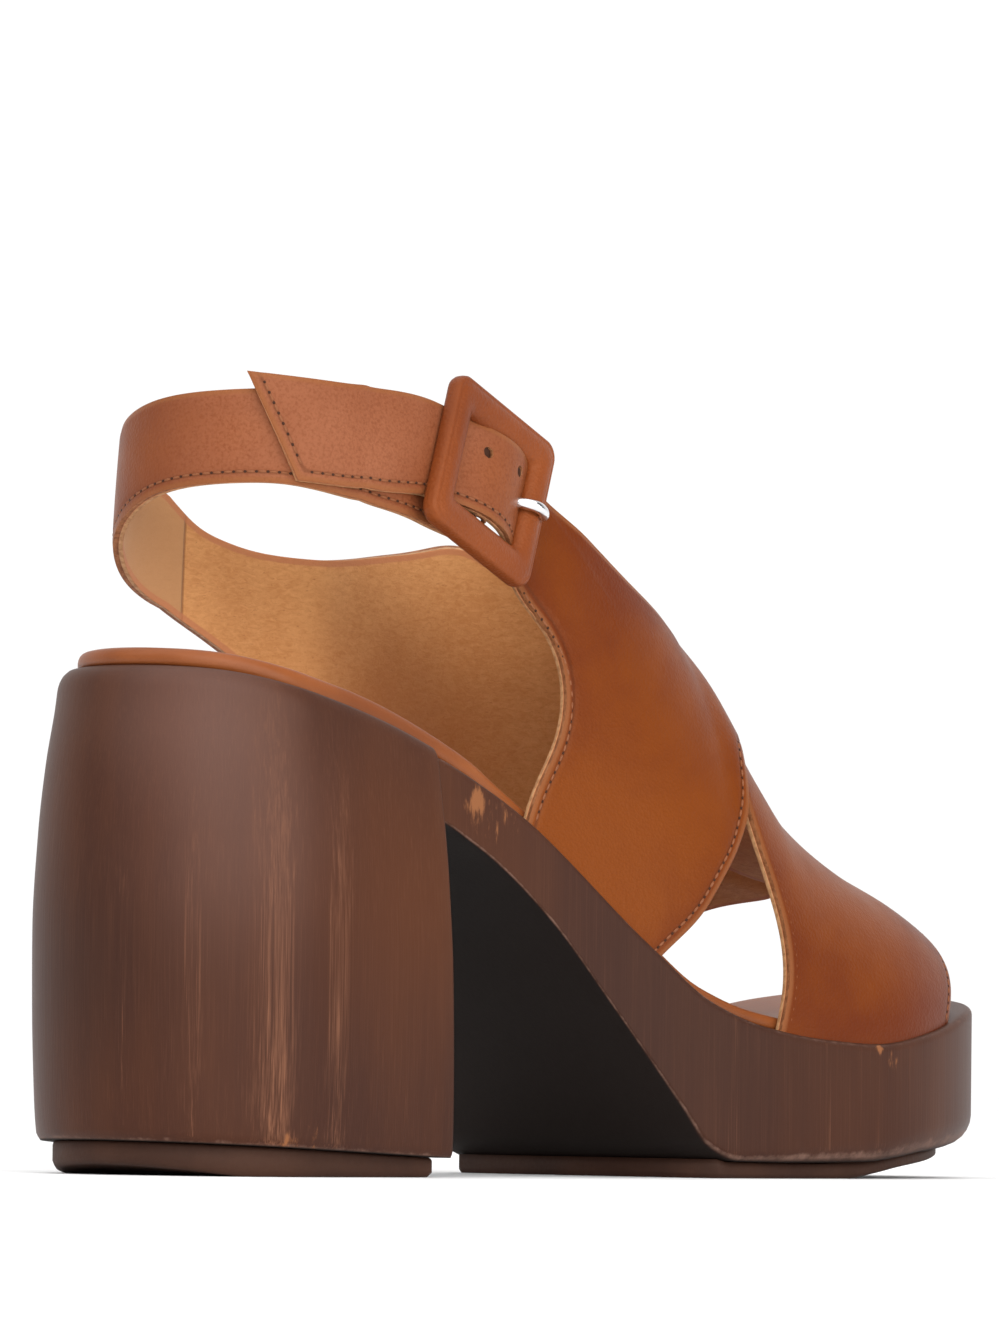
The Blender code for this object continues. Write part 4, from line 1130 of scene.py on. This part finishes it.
tailLay = layStrap(wrapped(heelRun[heelSplit:]), wrapped(throatRun[throatSplit::-1]),
                   wrapped(outerLay[outerGap[0]:outerGap[1] + 1, -1]))
print("leather laid out")


def borderPoints(layouts, depth):
    # points all along some rows or columns of a layout
    out = []
    for line in layouts:
        spots = onLast(*line[:, :2].T, line[:, 2] + depth)
        reach = lengths(spots)
        out.append(sampled(np.arange(0, reach[-1], bands["borderStep"]), reach, spots))
    return np.concatenate(out)


def nearest(points, border):
    parts = np.array_split(points, max(1, len(points) // 1500))
    return np.concatenate([np.sqrt(((part[:, None] - border[None]) ** 2).sum(-1).min(1)) for part in parts])


def leatherSheet(name, layouts, plain, stitched, side, depth, thick, materials, dip, holes=()):
    # one layer of the upper, cut from its layouts and given its thickness
    bm = bmesh.new()
    allEdges, seams = borderPoints([*plain, *stitched], depth), borderPoints(stitched, depth)
    for lay in layouts:
        points = onLast(lay[..., 0], lay[..., 1], lay[..., 2] + depth)
        flat = points.reshape(-1, 3)
        edge, seam = nearest(flat, allEdges), nearest(flat, seams)
        if dip:
            furrow = bands["furrow"] * np.exp(-((seam - bands["seam"]) / bands["furrowHalf"]) ** 2)
            sink = furrow + bands["worn"] * (1 - ease(edge / bands["wornRun"]))
            points = onLast(lay[..., 0], lay[..., 1], lay[..., 2] + depth - sink.reshape(lay.shape[:2]))
        shape = lay.shape[:2]
        values = {"edgeDist": edge.reshape(shape), "seamDist": seam.reshape(shape), "place": lay[..., 0] * mm}
        gridOf(bm, shape[0] - 1, shape[1] - 1, lambda i, j, p=points: p[i, j],
               {key: (lambda i, j, v=v: v[i, j]) for key, v in values.items()})
    bmesh.ops.remove_doubles(bm, verts=bm.verts, dist=bands["weld"])
    bmesh.ops.recalc_face_normals(bm, faces=bm.faces)
    for centre, radius in holes:
        punch(bm, Vector(centre), radius)
    bmesh.ops.recalc_face_normals(bm, faces=bm.faces)
    outermost = max(bm.faces, key=lambda f: side * f.calc_center_median().y)
    if outermost.normal.y * side < 0:
        bmesh.ops.reverse_faces(bm, faces=bm.faces)
    piece = addPiece(name, bm, materials, "upper")
    thicken(piece, thick, -1)
    rounded = piece.modifiers.new("rounded", "BEVEL")
    rounded.width = bands["round"] * mm
    rounded.segments = 2
    rounded.limit_method = "ANGLE"
    rounded.angle_limit = math.radians(55)


def punch(bm, centre, radius):
    # opens a round hole at the vertex nearest to a place
    middle = min(bm.verts, key=lambda v: (v.co - centre).length_squared)
    faces = list(middle.link_faces)
    ring = {v for f in faces for v in f.verts} - {middle}
    normal, spot = faces[0].normal.copy(), middle.co.copy()
    bmesh.ops.delete(bm, geom=[middle], context="VERTS")
    for v in ring:
        way = v.co - spot
        way -= way.dot(normal) * normal
        v.co = spot + way.normalized() * radius


tab = {"holes": ((-66.9, 0.804), (-75.6, 0.792)), "radius": 1.2, "floor": 0.55, "shadowRadius": 1.5}


def tabHoles():
    # places of the holes punched in the strap end
    flat = tailLay.reshape(-1, 3)
    gaps = [(flat[:, :2] - hole) * (1, bands["girth"]) for hole in tab["holes"]]
    return flat[[np.argmin(np.hypot(*gap.T)) for gap in gaps]]


def holeShadows():
    # dark discs down in the punched holes, painted shade
    bm = bmesh.new()
    for place, share, lift in tabHoles():
        spot, above = onLast(np.full(2, place), np.full(2, share), lift + np.array((tab["floor"], 1.0)))
        turned = facing(Vector(above - spot), Vector(spot))
        bmesh.ops.create_circle(bm, cap_ends=True, segments=16, radius=tab["shadowRadius"], matrix=turned)
    addPiece("holeShadows", bm, [holeShadeLook], "upper")


outerStitched = [outerLay[:outerGap[0] + 1, -1], tailLay[:, 0], tailLay[-1], outerLay[:sewnEnd, 0]]
outerPlain = [outerLay[outerGap[1]:, -1], tailLay[:, -1], outerLay[sewnEnd - 1:, 0]]
rimEnd = innerStops[5]
innerStitched = [innerLay[rimEnd:, 0], innerLay[:innerStops[4], 0]]
innerPlain = [innerLay[:, -1]]
holeSpots = onLast(*(tabHoles() + (0, 0, bands["outside"])).T)
punched = [(spot, tab["radius"]) for spot in holeSpots]
outerParts = ([outerLay, tailLay], outerPlain, outerStitched, -1)
innerParts = ([innerLay], innerPlain, innerStitched, 1)
onTop = (bands["outside"], bands["leather"], [leather, cutEdge], True)
inside = (bands["liningTop"], bands["lining"], [lining, liningEdge], False)
leatherSheet("outerBand", *outerParts, *onTop, punched)
holeShadows()
leatherSheet("outerLining", *outerParts, *inside)
leatherSheet("innerBand", *innerParts, *onTop)
leatherSheet("innerLining", *innerParts, *inside)
print("leather made")


# Buckle, covered with leather, and its prong

cover = {
    "profile": (
        (0.0, -0.55), (0.0, 0.0), (0.02, 0.42), (0.07, 0.66), (0.13, 0.74), (0.17, 0.72), (0.21, 0.80),
        (0.29, 0.93), (0.40, 1.0), (0.52, 1.0), (0.64, 0.95), (0.76, 0.83), (0.87, 0.60), (0.96, 0.22),
        (1.0, -0.2), (0.98, -0.7), (0.90, -1.0), (0.5, -1.0), (0.10, -1.0), (0.03, -0.88),
    ),
    "cornerSteps": 8, "sideSteps": 10,
}


def roundedRectangle(length, height, radius, cornerSteps, sideSteps):
    # points round a rectangle with round corners
    spots = []
    for k, (sx, sy) in enumerate(((1, 1), (-1, 1), (-1, -1), (1, -1))):
        turn = np.radians(90 * k + np.linspace(0, 90, cornerSteps + 1))
        middle = np.array((sx * (length / 2 - radius), sy * (height / 2 - radius)))
        spots.append(middle + radius * np.stack((np.cos(turn), np.sin(turn)), -1))
    t = np.linspace(0, 1, sideSteps + 1)[1:-1, None]
    pairs = zip(spots, spots[1:] + spots[:1])
    return np.concatenate([run for a, b in pairs for run in (a, a[-1] + (b[0] - a[-1]) * t)])


def coveredBuckle():
    long, tall, sizes = buckle["long"], buckle["tall"], (cover["cornerSteps"], cover["sideSteps"])
    outer = roundedRectangle(long, tall, buckle["corner"], *sizes)
    innerLong, innerTall = long - 2 * buckle["bar"], tall - 2 * buckle["topBar"]
    inner = roundedRectangle(innerLong, innerTall, buckle["innerCorner"], *sizes)
    rings = []
    for depth, rise in [*cover["profile"], cover["profile"][0]]:
        ring = outer + (inner - outer) * depth
        rings.append(inBuckle(ring[:, 0], ring[:, 1], buckle["lift"] + rise * buckle["thick"] / 2))
    addPiece("coveredBuckle", loft(rings, closed=False), [buckleLeather], "buckle_frame")


prong = {
    "radius": 1.15, "sides": 20, "steps": 6,
    "rows": ((2.6, 2.6), (5.5, 2.2), (8.0, 3.4), (9.8, 6.6), (11.6, 8.4), (13.6, 8.4), (15.2, 7.5)),
    # round end: distance and size, in radii
    "tip": ((0.35, 0.93), (0.65, 0.74), (0.85, 0.48), (0.95, 0.2)),
}


def steelProng():
    path = flow(prong["rows"], prong["steps"])
    run = np.gradient(path, axis=0)
    run /= np.linalg.norm(run, axis=1, keepdims=True)
    ahead, thin = np.array(prong["tip"]).T * prong["radius"]
    size = np.concatenate((np.full(len(path), prong["radius"]), thin))
    path = np.concatenate((path, path[-1] + run[-1] * ahead[:, None]))
    run = np.concatenate((run, np.repeat(run[-1:], len(ahead), 0)))
    turn = np.linspace(0, 2 * math.pi, prong["sides"], endpoint=False)
    rings = [inBuckle(a[0] - r[1] * s * np.cos(turn), s * np.sin(turn), a[1] + r[0] * s * np.cos(turn))
             for a, r, s in zip(path, run, size)]
    addPiece("steelProng", loft(rings), [steel], "buckle_prong")


def centreBar():
    bm = bmesh.new()
    reach = buckle["tall"] / 2 - buckle["bar"] / 2
    radius = buckle["barRadius"]
    bmesh.ops.create_cone(bm, cap_ends=True, segments=20, radius1=radius, radius2=radius, depth=2 * reach)
    for v in bm.verts:
        v.co = inBuckle(v.co.x, v.co.z, buckle["barLift"] + v.co.y)
    bm.normal_update()
    bmesh.ops.recalc_face_normals(bm, faces=bm.faces)
    addPiece("centreBar", bm, [steel], "buckle_frame")


chape = {
    "inner": 1.3, "outer": 2.15, "slot": 2.2, "half": 8.2, "reach": 11.0, "turn": 100.0, "turnSteps": 15,
    "bendEnd": -1.2, "topLift": 0.4, "lowLift": -1.9, "steps": 6,
}


def chapeLoop():
    # strap end turned round the bar on both sides of the prong and sewn down under itself
    bm = bmesh.new()
    middle = (chape["inner"] + chape["outer"]) / 2
    turn = np.radians(np.linspace(chape["turn"], -chape["turn"], chape["turnSteps"]))
    bend = np.stack((middle * np.cos(turn), buckle["barLift"] + middle * np.sin(turn)), -1)
    far, close, steps = -chape["reach"], chape["bendEnd"], chape["steps"]
    over = np.linspace((far, chape["topLift"]), (close, bend[0, 1] - 0.1), steps + 1)[:-1]
    below = np.linspace((close, bend[-1, 1] + 0.1), (far, chape["lowLift"]), steps + 1)[1:]
    path = np.concatenate((over, bend, below))
    for side in (-1, 1):
        across = side * np.linspace(chape["slot"], chape["half"], steps + 1)
        gridOf(bm, len(path) - 1, steps, lambda i, j: inBuckle(path[i, 0], across[j], path[i, 1]))
    bmesh.ops.recalc_face_normals(bm, faces=bm.faces)
    piece = addPiece("chapeLoop", bm, [strapLeather, cutEdge], "upper")
    thicken(piece, chape["outer"] - chape["inner"], 0)


coveredBuckle()
steelProng()
centreBar()
chapeLoop()
print("buckle made")


# Stitching

stitch = {
    "pitch": 2.2, "long": 1.55, "wide": 0.58, "high": 0.46, "hole": 0.33, "holeDepth": 0.12, "sunk": 0.2,
    "start": 1.2, "spare": 1.5, "sight": 0.7,
}


def stitchRuns():
    row, middle = bands["edgeRows"].index(bands["seam"]), len(bands["edgeRows"])
    reach = lengths(onLast(*tailLay[:, middle].T))
    tabEnd = np.argmin(np.abs(reach[-1] - reach - bands["seam"]))
    return (
        outerLay[:sewnEnd, row], outerLay[2:outerGap[0], -1 - row],
        tailLay[:tabEnd + 1, row], tailLay[tabEnd, row:-row],
        innerLay[rimEnd + 3:, row], innerLay[:innerStops[4] - 2, row], innerLay[2:innerStops[1], -1 - row],
    )


def sewSeams():
    threads, holes = bmesh.new(), bmesh.new()
    pitch, hole, sight = stitch["pitch"], stitch["hole"], stitch["sight"]
    grow = Matrix.Diagonal((stitch["long"], stitch["wide"], stitch["high"], 1.0))
    for lay in stitchRuns():
        spots = onLast(*lay[:, :2].T, lay[:, 2] + bands["outside"] - stitch["sunk"])
        normals = normalsOf(lastPoint, lay[:, 0], lay[:, 1])
        reach = lengths(spots)
        for k in range(int((reach[-1] - stitch["spare"]) / pitch)):
            at = stitch["start"] + pitch * (k + 0.5)
            places = at + np.array((0, sight, -sight, pitch / 2))
            middle, ahead, behind, end = sampled(places, reach, spots)
            along = Vector(ahead - behind).normalized()
            side = Vector(sampled(at, reach, normals)).cross(along).normalized()
            matrix = Matrix((along, side, along.cross(side))).transposed().to_4x4()
            matrix.translation = Vector(middle)
            lying = matrix @ grow @ Matrix.Rotation(math.pi / 2, 4, "Y")
            bmesh.ops.create_uvsphere(threads, u_segments=8, v_segments=6, radius=0.5, matrix=lying)
            # a dark cap at the needle hole, painted shade
            matrix.translation = Vector(end) + matrix.col[2].xyz * 0.03
            bmesh.ops.create_cone(holes, cap_ends=True, segments=8, radius1=hole, radius2=hole * 0.8,
                                  depth=stitch["holeDepth"], matrix=matrix)
    addPiece("seamThread", threads, [thread], "upper")
    addPiece("needleHoleShade", holes, [holeShadeLook], "upper")


sewSeams()
print("stitching made")


# Floor, light and camera

def addFloor():
    bm = bmesh.new()
    bmesh.ops.create_grid(bm, x_segments=1, y_segments=1, size=30.0)
    look = Look("paleFloor", Roughness=0.7, Specular_IOR_Level=0.2)
    dust = look.noise(look.coords(), 3.0)
    look.use("Base Color", look.mix(dust, (0.93, 0.93, 0.93), (0.91, 0.91, 0.91)))
    floor = meshObject("floor", bm, [look.material])
    floor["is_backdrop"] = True


studio = {
    "back": (1.03, 1.03, 1.03), "front": (0.15, 0.15, 0.155), "from": -0.08, "to": 0.58,
    "aim": (0, 0, 0.06), "away": 1.7,
    # soft lamps: azimuth, elevation, width, height, power
    "lamps": {
        "keyLight": (-30, 22, 2.2, 1.0, 27), "sideLight": (12, 9, 0.4, 0.4, 5),
        "leftLight": (-110, 30, 0.6, 0.8, 4),
    },
}


def addLamp(name, kind, azimuth, elevation, away, **settings):
    # lamp turned to the shoe from an angle
    light = bpy.data.lights.new(name, kind)
    for key, value in settings.items():
        setattr(light, key, value)
    a, e = math.radians(azimuth), math.radians(elevation)
    way = Vector((math.sin(a) * math.cos(e), -math.cos(a) * math.cos(e), math.sin(e)))
    inScene(name, light).matrix_world = facing(way, Vector(studio["aim"]) + way * away)


view = {"place": (-1254.5, -1247.1, 18.0), "pitch": 2.71, "roll": 0.7, "sensor": 36, "lens": 8840 / 1333 * 36}


def addCamera():
    camera = bpy.data.cameras.new("camera")
    camera.lens = view["lens"]
    camera.sensor_width = view["sensor"]
    camera.clip_start, camera.clip_end = 0.05, 100
    right, level = Vector((1, -1, 0)).normalized(), Vector((1, 1, 0)).normalized()
    p, r = math.radians(view["pitch"]), math.radians(view["roll"])
    up = Vector((0, 0, 1))
    forward, raised = math.cos(p) * level + math.sin(p) * up, -math.sin(p) * level + math.cos(p) * up
    across, top = math.cos(r) * right + math.sin(r) * raised, -math.sin(r) * right + math.cos(r) * raised
    thing = inScene("camera", camera)
    turn = Matrix((across, top, -forward)).transposed().to_4x4()
    thing.matrix_world = Matrix.Translation(Vector(view["place"]) * mm) @ turn
    bpy.context.scene.camera = thing


def addWorld():
    # bright wall behind the shoe, dim room on the near side
    look = Look("studio", True)
    way = look.node("ShaderNodeTexCoord")
    sockets = {0: way, 1: (0.7071, 0.7071, 0.0)}
    behind = look.node("ShaderNodeVectorMath", {"operation": "DOT_PRODUCT"}, sockets, out=1)
    share = look.between(behind, studio["from"], studio["to"])
    look.use("Color", look.mix(share, studio["front"], studio["back"]))
    bpy.context.scene.world = look.material


addFloor()
addWorld()
addLamp("topLight", "SUN", -60, 70, 0, energy=2.2, angle=math.radians(80))
for name, (azimuth, elevation, wide, high, power) in studio["lamps"].items():
    addLamp(name, "AREA", azimuth, elevation, studio["away"],
            shape="RECTANGLE", size=wide, size_y=high, energy=power)
addCamera()
bpy.context.scene.view_settings.view_transform = "Standard"
print("studio made")

low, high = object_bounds()
